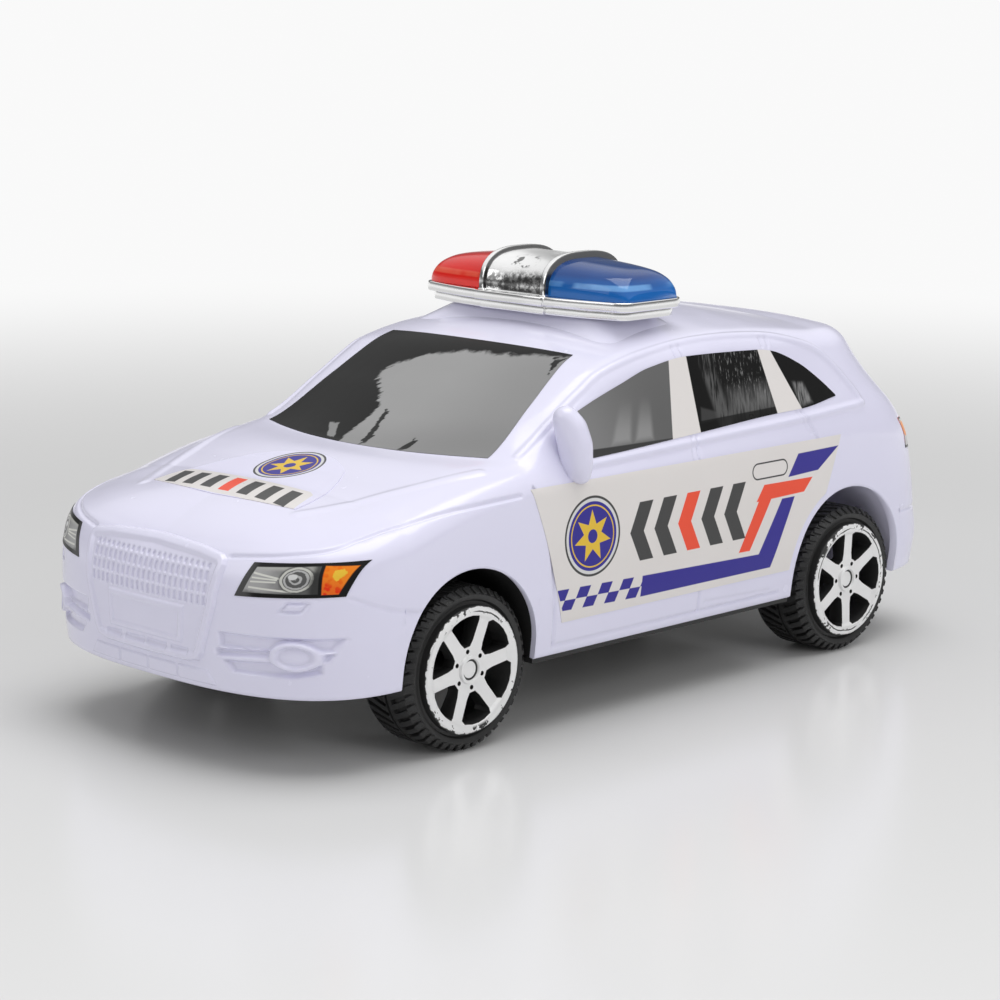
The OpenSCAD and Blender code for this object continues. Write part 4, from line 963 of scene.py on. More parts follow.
# Grille panel in the nose
grille_edge = [(-9, 50.1), (0, 50.3), (8, 50.1), (15.7, 49.7), (22.0, 48.8), (23.4, 47.9), (23.9, 46.6),
               (22.6, 37.5), (18.9, 26.4), (17.6, 24.6), (14.4, 23.9), (-9, 23.7)]
grille_lip = [(-9, 22.7), (19.8, 22.8), (22.4, 19.4), (-9, 19.4)]
grille_plate = [(-9, 36.4), (13.3, 36.4), (12.7, 28.0), (-9, 28.0)]
grille_half = 26.0
grille_foot_z = 18.9
grille_top_z = 51.2
grille_recess = 0.4
grille_frame_rise = 1.4
grille_mesh_sink = 0.55
grille_slot_sink = 0.56
grille_slot_pitch = 1.86
grille_plate_rise = 0.5
grille_plate_sink = 0.3
grille_dash_sink = 0.4
grille_lip_rise = 0.7
grille_lip_split = 0.3


def grille_slots(x, z):
    """Depth of the small upright slots of the mesh."""
    nearest = (math.floor(x / grille_slot_pitch) + 0.5) * grille_slot_pitch
    sink = 0.0
    rows = ((46.0, 0.5), (43.8, 1.0), (41.1, 1.0), (38.4, 1.0))
    for row, tall in rows:
        if nearest < 21.2 - (47 - row) * 0.13:
            across = abs(x - nearest) - 0.14
            up = abs(z - row) - tall + 0.3
            gap = math.hypot(max(across, 0), max(up, 0))
            sink = max(sink, soft((0.5 - gap) / 0.4))
    return sink


def grille_relief(x, z):
    """Height of the grille over the plain skin."""
    edge = edge_distance(grille_edge, x, z)
    if edge > 0.5:
        lip = edge_distance(grille_lip, x, z)
        rise = grille_lip_rise * soft(0.5 - lip / 0.8) - grille_recess
        splits = (0.0, 10.3)
        for split in splits:
            rise -= grille_lip_split * soft(1 - abs(x - split) / 0.5) * soft(0.5 - lip / 0.8)
        return rise
    rise = grille_frame_rise * soft((0.5 - edge) / 1.2) - grille_recess
    rise -= grille_mesh_sink * soft(-1.5 - edge)
    rise -= grille_slot_sink * grille_slots(x, z)
    plate = edge_distance(grille_plate, x, z)
    rise += grille_plate_rise * soft(0.5 - plate / 0.7)
    rise -= grille_plate_sink * soft((-0.9 - plate) / 0.7)
    dashes = ((0.5, 7.2), (8.9, 14.4))
    for start, end in dashes:
        dash = edge_distance([(start, 27.0), (end, 26.8), (end, 25.5), (start, 25.7)], x, z)
        rise -= grille_dash_sink * soft(0.5 - dash / 0.6)
    return rise


def grille_panel():
    form = bmesh.new()
    wide = 168
    tall = 156
    across_x = 10.0
    middle_z = 35.0
    middle_row = on_skin(nose_seeds, (0, 2), across_x, middle_z)[1]
    panel_columns = []
    for k in range(wide + 1):
        low, high = nose_y, fan_front_y
        for _ in range(24):
            s = (low + high) / 2
            if skin(s, middle_row).x < grille_half * k / wide:
                low = s
            else:
                high = s
        panel_columns.append(s if k else nose_y)
    panel_rows = []
    for k in range(tall + 1):
        height = mix(grille_foot_z, grille_top_z, k / tall)
        panel_rows.append(on_skin(nose_seeds, (0, 2), across_x, height)[1])
    sunk = set()
    for vert, (along, up) in grid(form, wide, tall).items():
        s = panel_columns[round(along * wide)]
        v = panel_rows[round(up * tall)]
        place = skin(s, v)
        rise = grille_relief(place.x, place.z)
        if rise < -0.25 and edge_distance(grille_edge, place.x, place.z) > 0.3:
            sunk.add(vert)
        vert.co = place + skin_normal(s, v) * rise
        if s == nose_y:
            vert.co.x = 0
    hidden = [face for face in form.faces if all(vert in sunk for vert in face.verts)]
    bmesh.ops.delete(form, geom=hidden, context="FACES")
    mirrored(form)
    piece("grille_panel", form, "car", white_plastic, ["body_shell"], 60.0)


grille_panel()


# Door mirror on the left
def door_mirror():
    form = bmesh.new()
    balls = [(48.6, -33.1, 73.2, 3.3), (50.3, -32.2, 71.2, 3.3), (51.4, -31.8, 67.1, 3.6),
             (51.9, -31.6, 62.6, 3.1), (49.7, -32.0, 60.3, 2.2), (51.7, -30.8, 60.2, 2.4)]
    for x, y, z, radius in balls:
        bmesh.ops.create_icosphere(form, subdivisions=3, radius=radius, matrix=Matrix.Translation((x, y, z)))
    hull = bmesh.ops.convex_hull(form, input=form.verts)
    bmesh.ops.delete(form, geom=hull["geom_interior"], context="VERTS")
    bmesh.ops.recalc_face_normals(form, faces=form.faces)
    thing = piece("left_mirror", form, "car", white_plastic, ["body_shell"], 180.0)
    remesh = thing.modifiers.new("even_faces", "REMESH")
    remesh.mode = "VOXEL"
    remesh.voxel_size = 0.0004
    remesh.use_smooth_shade = True
    smooth = thing.modifiers.new("soft_faces", "SMOOTH")
    smooth.factor = 0.5
    smooth.iterations = 34


door_mirror()


# Wheel wells behind the openings
def wheel_well(name, arch, side, finish):
    middle, radius = arch
    gap = 0.25
    overlap = 0.3
    form = bmesh.new()
    for vert, (share, inward) in grid(form, 48, 10).items():
        turn = share * math.pi
        along = middle - radius * math.cos(turn)
        up = arch_z + (radius + gap) * math.sin(turn)
        if not 0.005 < share < 0.995:
            up = sill_z + overlap
        outer = station(station_at(along)).lower(max(up, sill_z), wall - overlap).x
        vert.co = (side * mix(outer, well_x, inward), along, up)
    inner = [edge for edge in form.edges if edge.is_boundary]
    inner = [edge for edge in inner if all(abs(abs(v.co.x) - well_x) < 0.01 for v in edge.verts)]
    bmesh.ops.contextual_create(form, geom=inner)
    bmesh.ops.recalc_face_normals(form, faces=form.faces)
    piece(name, form, "car", finish, ["body_shell"], 40.0)


# The front wells are a near-black liner, darker than the black plastic, standing in for the shade inside the
# open front arches.
for hand, side in hands:
    wheel_well(f"front_{hand}_well", front_arch, side, well_shade_black)
for hand, side in hands:
    wheel_well(f"rear_{hand}_well", rear_arch, side, white_plastic)


# Raised pad under the light bar
pad_size = (72, 36, 6)
pad_taper = (0.72, 0.62, 1)
pad_z = 88.5


def roof_pad():
    form = bmesh.new()
    bmesh.ops.create_cube(form, size=1)
    bmesh.ops.scale(form, vec=pad_size, verts=form.verts)
    bmesh.ops.translate(form, vec=(0, bar_y, pad_z), verts=form.verts)
    upper = [vert for vert in form.verts if vert.co.z > pad_z]
    bmesh.ops.scale(form, vec=pad_taper, verts=upper, space=Matrix.Translation((0, -bar_y, 0)))
    upright = [edge for edge in form.edges if abs(edge.verts[0].co.z - edge.verts[1].co.z) > 1]
    bevel(form, upright, 4, 6)
    rim_z = pad_z + pad_size[2] / 2 - 0.1
    rim = [edge for edge in form.edges if all(vert.co.z > rim_z for vert in edge.verts)]
    bevel(form, rim, 1.6, 5)
    piece("roof_pad", form, "car", white_plastic, ["body_shell"], 60.0)


roof_pad()


# Printed labels
label_lift = 0.14


def sheet(name, wide, tall, at, node, finish):
    """A printed label that follows the skin; at() gives the station, row and side of each point."""
    form = bmesh.new()
    layer = form.loops.layers.uv.new("print")
    share = grid(form, wide, tall)
    for vert in form.verts:
        s, v, side = at(*share[vert])
        place = skin(s, v) + skin_normal(s, v) * label_lift
        vert.co = (place.x * side, place.y, place.z)
    border = [edge for edge in form.edges if edge.is_boundary]
    made = bmesh.ops.extrude_edge_only(form, edges=border)
    down = [item for item in made["geom"] if isinstance(item, bmesh.types.BMVert)]
    for vert in down:
        above = next(edge.other_vert(vert) for edge in vert.link_edges if edge.other_vert(vert) in share)
        near = plain_tree.find_nearest((abs(vert.co.x), vert.co.y, vert.co.z))[0]
        vert.co = (math.copysign(near.x, vert.co.x), near.y, near.z)
        share[vert] = share[above]
    for face in form.faces:
        for loop in face.loops:
            loop[layer].uv = share[loop.vert]
    bmesh.ops.recalc_face_normals(form, faces=form.faces)
    piece(name, form, "car", finish, [node], 50.0)


# Outlines of the side windows by distance behind the cowl, and of the doors by height
window_starts = {1: 16.2, -1: 13.0}
window_end = 116.5
door_foot_z = 25.9
door_top_z = 58.6
window_foot = Line([(9, belt_z + 1.3), (26, belt_z + 1.8), (62, belt_z + 3.4), (92.4, belt_rear_z + 1.2),
                    (102, belt_rear_z + 1.4), (window_end, belt_rear_z + 3.1)])
window_top = Line([(9, belt_z + 5.2), (17, belt_z + 9.9), (22.7, belt_z + 12.5), (30, header_z - 9.2),
                   (37.6, header_z - 7.1), (49, header_z - 4.2), (62.7, header_z - 2.8), (90, header_z - 3.6),
                   (95.4, header_z - 4.3), (105, header_z - 8.1), (112, header_z - 13),
                   (window_end, header_z - 17.1)])
door_front = Line([(door_foot_z, cowl_y + 9.8), (34, cowl_y + 7.6), (46.3, cowl_y + 4.1),
                   (door_top_z, cowl_y - 0.2)])


def door_rear(z):
    middle, radius = rear_arch
    if z < arch_z + radius - 1:
        return middle - math.sqrt(max(4, (radius + 2) ** 2 - (z - arch_z) ** 2)) - 0.3
    return mix(middle - 11, middle - 4.2, (z - arch_z - radius + 1) / 15)


def side_window(side):
    def at(a, b):
        d = mix(window_starts[side], window_end, a)
        z = mix(window_foot(d), window_top(d), b)
        return (*on_skin(side_seeds, (1, 2), cowl_y + d, z), side)
    return at


def door_sheet(side):
    def at(a, b):
        z = mix(door_foot_z, door_top_z, b)
        y = mix(door_front(z), door_rear(z), a)
        return (*on_skin(side_seeds, (1, 2), y, z), side)
    return at


def screen_sheet(a, b):
    u = 2 * a - 1
    x = abs(u) * mix(38.4, 31.4, b)
    y = mix(cowl_y - 1.5 - screen_bow * (1 - u * u), header_y - 3 * (1 - u * u), b)
    return (*on_skin(top_seeds, (0, 1), x, y), 1 if u >= 0 else -1)


def bonnet_sheet(a, b):
    u = 2 * a - 1
    x = abs(u) * 25 * (1 - 0.35 * b * b)
    y = mix(fan_front_y - 14 + 3 * u * u, fan_front_y + 18 - 6 * u * u, b)
    return (*on_skin(top_seeds, (0, 1), max(x, 0.05), y), 1 if u >= 0 else -1)


def lamp_sheet(side):
    def at(a, b):
        x = mix(mix(27.8, 48.9, a), mix(30.7, 50.1, a), b)
        z = mix(nose_top_z - 10.9 + 1.1 * a, nose_top_z - 3.5 + 1.1 * a, b)
        return (*on_skin(nose_seeds, (0, 2), x, z), side)
    return at


def tail_lamp_sheet(side):
    def at(a, b):
        t = 1 - (1 - a) ** 1.8
        x = mix(mix(33, 49.3, t), mix(34, 48.2, t), b)
        z = mix(tail_belt_z - 9.5 + 2.2 * t, tail_belt_z - 1.4 + 2.4 * t, b)
        return (*on_skin(tail_seeds, (0, 2), x, z), side)
    return at


def rear_window_sheet(a, b):
    u = 2 * a - 1
    x = max(abs(u) * mix(34, 27, b), 0.05)
    return (*on_skin(tail_seeds, (0, 2), x, mix(62.5, 79.3, b)), 1 if u >= 0 else -1)


# Colours of the printing inks
ink_cream = colour(0.72, 0.69, 0.675)
ink_blue = colour(0.034, 0.027, 0.27)
ink_red = colour(0.83, 0.085, 0.04)
ink_dark = grey(0.058)
ink_black = grey(0.011)
ink_gold = colour(0.75, 0.5, 0.05)


def printed(name, gloss=0.24):
    """Printed film of a low gloss, with faint marks from its handling."""
    finish = Finish(name, Coat_Roughness=0.08, Specular_IOR_Level=gloss)
    scuff = finish.noise(260.0, 4.0)
    finish.set(Roughness=scuff * 0.14 + 0.24)
    finish.set(Coat_Weight=scuff * 0.08)
    finish.bump(finish.noise(34.0, 2.0), 0.05, 0.0008)
    return finish


def star_badge(finish, flat, middle, size):
    """Layers of a gold star on a dark disc with a pale ring."""
    far = finish.far(flat, middle)
    blur = 0.06

    def disc(share):
        return finish.ramp(far, size * share + blur, size * share - blur)

    return [
        (disc(1.0), ink_dark),
        (disc(0.94), grey(0.66)),
        (disc(0.86), ink_blue),
        (finish.ramp(abs(far - size * 0.76), 0.22, 0.12), ink_gold),
        (finish.star(flat, middle, 7, size * 0.66, size * 0.32), ink_gold),
        (disc(0.17), ink_blue)]


def door_print():
    """Cream livery with a check band, bars, slanted stripes and a star."""
    finish = printed("door_print")
    _, y, z = finish.place()
    flat = finish.flat(y, z)
    cloud = finish.noise(40.0, 3.0)
    cream = finish.blend(cloud, colour(0.7, 0.67, 0.65), colour(0.75, 0.72, 0.71))
    step = (y + 38.6 - (z - 31.2) * 0.55) / 7.7
    middle = 31.25 - (y + 39.5) * 0.026
    upper = finish.ramp(z - middle, -0.08, 0.08)
    one = finish.ramp(abs(step.math("FRACT") - 0.5), 0.24, 0.255)
    two = finish.ramp(abs((step + 0.5).math("FRACT") - 0.5), 0.24, 0.255)
    check = one * upper + two * (1.0 - upper)
    band = finish.area(flat, [(-39.3, 33.9), (-8.8, 33.0), (-9.2, 27.9), (-37.3, 28.7)])
    layers = [(band * check, ink_blue)]
    blue_bars = ([(-9.4, 33.0), (35.2, 31.9), (39.6, 27.8), (-9.9, 27.9)],
                 [(34.6, 31.9), (39.6, 27.8), (48.6, 45.0), (43.5, 45.0)],
                 [(50.2, 55.7), (66.8, 55.9), (58.2, 50.6), (46.0, 50.2)])
    red_bars = ([(26.7, 33.4), (31.0, 33.3), (39.9, 46.6), (34.9, 46.6)],
                [(33.3, 45.4), (36.4, 49.4), (55.9, 49.1), (52.4, 45.7)])
    layers += [(finish.area(flat, bar), ink_blue) for bar in blue_bars]
    layers += [(finish.area(flat, bar), ink_red) for bar in red_bars]
    chevron_z = 44.0
    sweep = (y - abs(z - chevron_z) * 0.5 + 16.0) / 8.7
    chevron = finish.bars(sweep, 5.0, 0.28) * finish.ramp(abs(z - chevron_z), 7.2, 7.05)
    warm = finish.ramp(abs(sweep - 2.5), 0.52, 0.48)
    layers.append((chevron * (1.0 - warm), ink_dark))
    layers.append((chevron * warm, ink_red))
    aside = (abs(y - 38.8) - 4.9).high(0.0)
    above = z - 53.0
    pill = (aside * aside + above * above) ** 0.5
    layers.append((finish.ramp(pill, 2.2, 2.1), ink_dark))
    layers.append((finish.ramp(pill, 1.8, 1.7), ink_cream))
    layers += star_badge(finish, flat, (-27.3, 45.2), 9.6)
    finish.set(Base_Color=finish.paint(cream, *layers))
    return finish.material


def bonnet_print():
    """Cream strip with slanted bars, and a star behind it."""
    finish = printed("bonnet_print")
    x, y, _ = finish.place()
    flat = finish.flat(x, y)
    cloud = finish.noise(28.0, 3.0)
    body = finish.blend(cloud, body_tint, body_pale)
    strip = finish.area(flat, [(-25.4, -96.6), (-23.0, -98.6), (23.6, -98.6), (24.6, -96.2), (21.6, -87.6),
                               (19.4, -86.4), (-22.6, -86.4), (-24.4, -88.0)])
    ahead = y + 92.5
    step = (x + ahead * 0.35 + 23.0) / 6.4
    bars = finish.bars(step, 7.0, 0.29) * finish.ramp(abs(ahead), 4.4, 4.25)
    warm = finish.ramp(abs(step - 3.5), 0.52, 0.48)
    layers = [(strip, ink_cream), (bars * (1.0 - warm), ink_dark), (bars * warm, ink_red)]
    layers += star_badge(finish, flat, (0.0, -75.6), 8.6)
    finish.set(Base_Color=finish.paint(body, *layers))
    return finish.material


def side_glass_print():
    """Side windows: smoked pictures of the glass between cream pillars."""
    finish = printed("side_glass_print", 0.09)
    _, y, z = finish.place()
    flat = finish.flat(y, z)
    streak = finish.streaks(flat, 0.16, 1.4, 12.0, 5.0)
    fine = finish.streaks(flat, 0.5, 2.6, 12.0, 5.0)
    smoke = finish.noise(50.0, 3.0)
    front = finish.blend(finish.ramp(y + smoke * 8.0, -24.0, 8.0), grey(0.21), grey(0.125))
    front = finish.blend(finish.ramp(z + smoke * 5.0, 71.0, 85.0) * 0.5, front, grey(0.145))
    seats = ([(-16.6, 65.4), (-10.4, 65.3), (-6.0, 77.0), (-9.2, 77.0)],
             [(-8.4, 65.3), (-2.4, 65.2), (-0.4, 75.4), (-3.2, 75.4)])
    for corners in seats:
        seat = finish.area(flat, corners, 0.9) * finish.ramp(z + smoke * 3.0, 77.5, 67.5)
        front = finish.blend(seat * 0.75, front, grey(0.3))
    foot = z - 65.0 + (y + 30.0) * 0.012
    front = finish.blend(finish.ramp(foot, 0.1, -0.2), front, grey(0.05))
    lean = y + (z - 74.0) * 0.17
    column = finish.ramp(abs(lean - 23.6), 3.4, 1.4)
    veil = column * finish.ramp(streak + finish.ramp(z, 82.0, 68.0) * 0.16, 0.44, 0.66)
    shower = finish.area(flat, [(24.0, 84.0), (45.5, 84.0), (45.0, 71.0), (28.5, 74.0)], 2.2)
    drops = shower * finish.ramp(fine * 0.62 + streak * 0.4, 0.55, 0.62)
    haze = finish.area(flat, [(29.0, 72.6), (47.0, 73.4), (47.5, 67.4), (27.0, 66.4)], 3.0)
    smear = haze * finish.ramp(streak, 0.3, 0.62)
    rear = finish.paint(ink_black, (veil * 0.7, grey(0.13)), (haze * 0.4, grey(0.1)),
                        (smear * 0.6, grey(0.2)), (drops * 0.6, grey(0.32)))
    corner = finish.area(flat, [(16.0, 66.8), (23.5, 67.2), (23.5, 68.6), (17.0, 70.5)], 0.4)
    rear = finish.blend(corner * 0.5, rear, grey(0.09))
    sill = finish.ramp(z - 66.4 - (y - 14.0) * 0.02, 1.1, 0.7)
    rear = finish.blend(sill * 0.85, rear, ink_black)
    spot = finish.area(flat, [(54.6, 67.0), (59.6, 67.7), (58.0, 72.5), (53.8, 73.0)], 0.7)
    quarter = finish.blend(spot * 0.55 * finish.ramp(streak, 0.35, 0.6), ink_black, grey(0.4))
    shade = finish.blend(finish.ramp(y, 11.0, 12.0), front, rear)
    shade = finish.blend(finish.ramp(y, 47.5, 48.5), shade, quarter)
    pillars = ([(3.9, 62), (9.6, 84), (15.8, 84), (14.9, 62)],
               [(45.6, 62), (43.0, 84), (47.0, 84), (56.9, 62)])
    for corners in pillars:
        shade = finish.blend(finish.area(flat, corners), shade, ink_cream)
    finish.set(Base_Color=shade)
    return finish.material


def windscreen_print():
    """Windscreen: dark to one side and along its top, with a brushed edge to a pale grey that is a painted
    reflection of the bright ceiling.
    """
    finish = printed("windscreen_print", 0.07)
    x, _, z = finish.place()
    flat = finish.flat(x, z)
    brush = finish.streaks(flat, 0.12, 0.9, 62.0, 6.0)
    rough = finish.noise(210.0, 5.0, 0.65)
    cloud = finish.noise(22.0, 3.0)
    side = finish.depth(flat, [(-4.2, 60.0), (-4.8, 78.0), (2.9, 83.6), (28.7, 84.1), (37.0, 84.1),
                               (44.0, 60.0)])
    wedge = finish.depth(flat, [(-17.4, 77.3), (-14.0, 79.6), (-6.1, 82.0), (2.9, 83.6), (12.0, 70.0),
                                (2.9, 68.2)])
    # The pale grey beyond the brushed edge is a painted reflection of the ceiling on the dark film.
    edge = side.high(wedge) + (brush - 0.5) * finish.ramp(z, 84.0, 78.0) * 4.0 + (rough - 0.5) * 2.6
    pale = finish.ramp(edge, -0.3, 0.5)
    middle = finish.blend(cloud, grey(0.27), grey(0.36))
    middle = finish.blend(finish.ramp(x + (cloud - 0.5) * 20.0, 4.0, 34.0) * 0.6, middle, grey(0.22))
    middle = finish.blend(finish.ramp(z - x * 0.1, 70.0, 63.0) * 0.5, middle, grey(0.2))
    shade = finish.blend(pale, grey(0.007), middle)
    marks = ([(-1.6, 71.0), (0.2, 70.8), (5.2, 64.2), (2.6, 64.2)],
             [(15.6, 66.6), (17.2, 66.6), (17.6, 64.2), (14.6, 64.2)],
             [(28.6, 83.9), (31.6, 84.0), (32.2, 80.6), (31.2, 80.8)])
    for corners in marks:
        mark = finish.depth(flat, corners) + (brush - 0.52) * 3.0 + (rough - 0.5) * 1.6
        shade = finish.blend(finish.ramp(mark, 0.0, 0.3), shade, grey(0.02))
    # A small patch of painted reflection on the dark side.
    gleam = finish.depth(flat, [(-15.0, 66.9), (-11.0, 67.2), (-6.6, 64.4), (-9.8, 64.4)])
    gleam = gleam + (rough - 0.5) * 1.2
    shade = finish.blend(finish.ramp(gleam, 0.0, 0.3), shade, grey(0.24))
    finish.set(Base_Color=shade)
    return finish.material


def rear_glass_print():
    """Rear window: dark with a brushed gleam."""
    finish = printed("rear_glass_print", 0.09)
    x, _, z = finish.place()
    flat = finish.flat(x, z)
    brush = finish.streaks(flat, 0.12, 0.9, 40.0, 6.0)
    gleam = finish.ramp(x * 0.05 + (z - 70.0) * 0.04 + brush * 2.0, 1.1, 1.6)
    finish.set(Base_Color=finish.blend(gleam, grey(0.014), grey(0.2)))
    return finish.material


def headlamp_print():
    """Headlamp picture: a silver reflector with lines, and an amber end."""
    finish = printed("headlamp_print", 0.09)
    x, _, z = finish.place()
    wide = abs(x)
    flat = finish.flat(wide, z)
    grain = finish.noise(500.0, 4.0, 0.6)
    frame_ink = finish.blend(finish.ramp(wide, 33.0, 30.0), grey(0.012), grey(0.07))
    glass = finish.area(flat, [(31.9, 47.3), (44.6, 48.3), (45.2, 42.4), (29.8, 41.8)])
    silver = finish.blend(finish.ramp(wide + grain * 3.0, 34.0, 44.0), grey(0.36), grey(0.11))
    silver = finish.blend(finish.ramp(z + grain * 2.0, 43.6, 42.6) * 0.7, silver, grey(0.09))
    silver = finish.blend(finish.ramp(z, 46.6, 47.6) * 0.6, silver, colour(0.5, 0.5, 0.46))
    ribs = (((31.6, 46.1), (37.6, 45.3), 0.2), ((31.4, 45.1), (37.2, 45.0), 0.17),
            ((31.2, 44.2), (37.0, 44.5), 0.17), ((31.0, 43.0), (40.6, 42.7), 0.2))
    for start, end, thick in ribs:
        corners = [(start[0], start[1] + thick), (end[0], end[1] + thick), (end[0], end[1] - thick),
                   (start[0], start[1] - thick)]
        silver = finish.blend(finish.area(flat, corners, 0.05), silver, colour(0.62, 0.62, 0.58))
    bowl = finish.far(flat, (40.9, 45.3), (2.9, 2.4))
    silver = finish.blend(finish.ramp(bowl, 1.3, 1.1) * 0.8, silver, grey(0.09))
    silver = finish.blend(finish.ramp(abs(bowl - 1.0 + (grain - 0.5) * 0.16), 0.12, 0.06) * 0.85, silver,
                          colour(0.6, 0.6, 0.56))
    arcs = finish.ramp((bowl * 15.0 + grain * 5.0).math("SINE"), 0.1, 0.8)
    silver = finish.blend(finish.ramp(bowl, 0.92, 0.84), silver, finish.blend(arcs, grey(0.1), grey(0.42)))
    gleam = finish.far(flat, (40.2, 45.9), (1.1, 0.7)) + (grain - 0.5) * 0.8
    silver = finish.blend(finish.ramp(gleam, 1.0, 0.7), silver, grey(0.6))
    shade = finish.ramp(wide + grain * 1.4, 43.4, 45.0)
    silver = finish.blend(shade * 0.85, silver, grey(0.03))
    amber = finish.area(flat, [(45.2, 48.4), (49.5, 48.3), (48.1, 42.4), (45.75, 42.3)])
    cell = finish.cells(900.0)
    warm = finish.ramp(z + grain * 2.6 + (wide - 47.0) * 0.5, 44.4, 47.8)
    warm = finish.blend(warm, colour(0.7, 0.035, 0.01), colour(0.8, 0.17, 0.012))
    warm = finish.blend(finish.ramp(cell, 0.3, 0.6) * 0.4, warm, colour(0.85, 0.3, 0.03))
    glow = finish.far(flat, (47.6, 46.7), (0.8, 1.2)) + (grain - 0.5) * 1.6
    warm = finish.blend(finish.ramp(glow, 1.05, 0.8), warm, colour(0.78, 0.5, 0.05))
    finish.set(Base_Color=finish.paint(frame_ink, (glass, silver), (amber, warm)))
    return finish.material


def tail_lamp_print():
    """Tail lamp picture: red inside, amber and pale lenses at its outer end."""
    finish = printed("tail_lamp_print")
    a, b = finish.sheet_place()
    flat = finish.flat(a, b)
    grain = finish.noise(500.0, 4.0, 0.6)
    cell = finish.cells(800.0)
    red = finish.blend(finish.ramp(cell, 0.2, 0.6), colour(0.5, 0.012, 0.01), colour(0.75, 0.04, 0.02))
    pale = finish.blend(grain, grey(0.42), grey(0.62))
    amber = finish.blend(cell, colour(0.8, 0.16, 0.01), colour(0.88, 0.36, 0.04))
    shade = finish.blend(finish.ramp(a, 0.5, 0.52), red, pale)
    shade = finish.blend(finish.ramp(finish.far(flat, (0.8, 0.62), (0.2, 0.25)), 1.05, 0.95), shade, amber)
    shade = finish.blend(finish.ramp(abs(a - 0.5), 0.025, 0.015), shade, grey(0.02))
    inside = finish.area(flat, [(0.03, 0.06), (0.97, 0.08), (0.97, 0.94), (0.03, 0.94)], 0.012)
    finish.set(Base_Color=finish.blend(inside, grey(0.02), shade))
    return finish.material


door_ink = door_print()
bonnet_ink = bonnet_print()
side_glass = side_glass_print()
screen_glass = windscreen_print()
rear_glass = rear_glass_print()
headlamp_ink = headlamp_print()
tail_lamp_ink = tail_lamp_print()

for hand, side in hands:
    sheet(f"{hand}_window", 108, 24, side_window(side), f"{hand}_window_label", side_glass)
for hand, side in hands:
    sheet(f"{hand}_door", 100, 36, door_sheet(side), f"{hand}_door_label", door_ink)
sheet("windscreen", 60, 40, screen_sheet, "windscreen_label", screen_glass)
sheet("bonnet_print", 50, 34, bonnet_sheet, "bonnet_label", bonnet_ink)
for hand, side in hands:
    sheet(f"{hand}_headlamp", 26, 12, lamp_sheet(side), f"{hand}_headlamp_label", headlamp_ink)
for hand, side in hands:
    sheet(f"{hand}_tail_lamp", 20, 12, tail_lamp_sheet(side), f"{hand}_tail_lamp_label", tail_lamp_ink)
sheet("rear_window", 50, 20, rear_window_sheet, "rear_window_label", rear_glass)


# Pieces of the frame with their triangles joined and their hard edges broken
def finer_copy(node, name, body, finish, width):
    form = bmesh.new()
    form.from_mesh(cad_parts[node].data)
    bmesh.ops.scale(form, vec=(per_metre,) * 3, verts=form.verts)
    bmesh.ops.remove_doubles(form, verts=form.verts, dist=merge_gap)
    bmesh.ops.dissolve_limit(form, angle_limit=math.radians(0.5), verts=form.verts, edges=form.edges)
    hard = [edge for edge in form.edges if edge.is_manifold and edge.calc_face_angle() > math.radians(32)]
    bevel(form, hard, width, 2, True)
    piece(name, form, body, finish, [node], 34.0)


wheel_bevel = 0.18
bar_bevel = 0.3
for end, middle_y in axles:
    foil = foiled_wheel(f"{end}_wheel_foil", middle_y)
    for hand, _ in hands:
        node = f"{end}_{hand}_wheel"
        finer_copy(node, f"{end}_{hand}_foiled_wheel", f"{end}_wheels", foil, wheel_bevel)


# Blocks along the outer shoulder of each tyre
shoulder_x = 48.9
shoulder_r = 18.15
shoulder_slope = 47.5
block_lean = 20
block_size = (0.8, 1.4, 2.2)


def shoulder_blocks(name, middle_y, side, body):
    form = bmesh.new()
    slope = Matrix.Rotation(math.radians(-shoulder_slope * side), 4, "Y")
    lean = Matrix.Rotation(math.radians(block_lean * side), 4, "X")
    block = Matrix.Translation((side * shoulder_x, 0, shoulder_r)) @ slope
    block = block @ lean @ Matrix.Diagonal((*block_size, 1))
    hub = Matrix.Translation((0, middle_y, axle_z))
    for k in range(tread_bars):
        turn = Matrix.Rotation(2 * math.pi * k / tread_bars, 4, "X")
        bmesh.ops.create_cube(form, size=1, matrix=hub @ turn @ block)
    bevel(form, form.edges[:], 0.14, 1)
    piece(name, form, body, tyre_black, sharp=30.0)


for end, middle_y in axles:
    for hand, side in hands:
        shoulder_blocks(f"{end}_{hand}_shoulder", middle_y, side, f"{end}_wheels")
finer_copy("lightbar_tray", "plated_tray", "car", chrome, bar_bevel)
finer_copy("lightbar_frame", "plated_arch", "car", worn_shaded_chrome, bar_bevel)


# Lenses of the light bar
lens_start = 11.5
lens_end = 34.5
lens_foot_z = 96.15
lens_power = 2.8
end_crowding = 1.7
lens_depth = Line([(lens_start, 13.3), (22.5, 12.5), (28.3, 11.7), (31.4, 10.9), (33.3, 10.0),
                   (lens_end, 8.8)])
lens_rise = Line([(lens_start, 8.7), (22.5, 7.85), (28.3, 7.1), (31.4, 6.1), (33.3, 4.5), (lens_end, 2.0)])


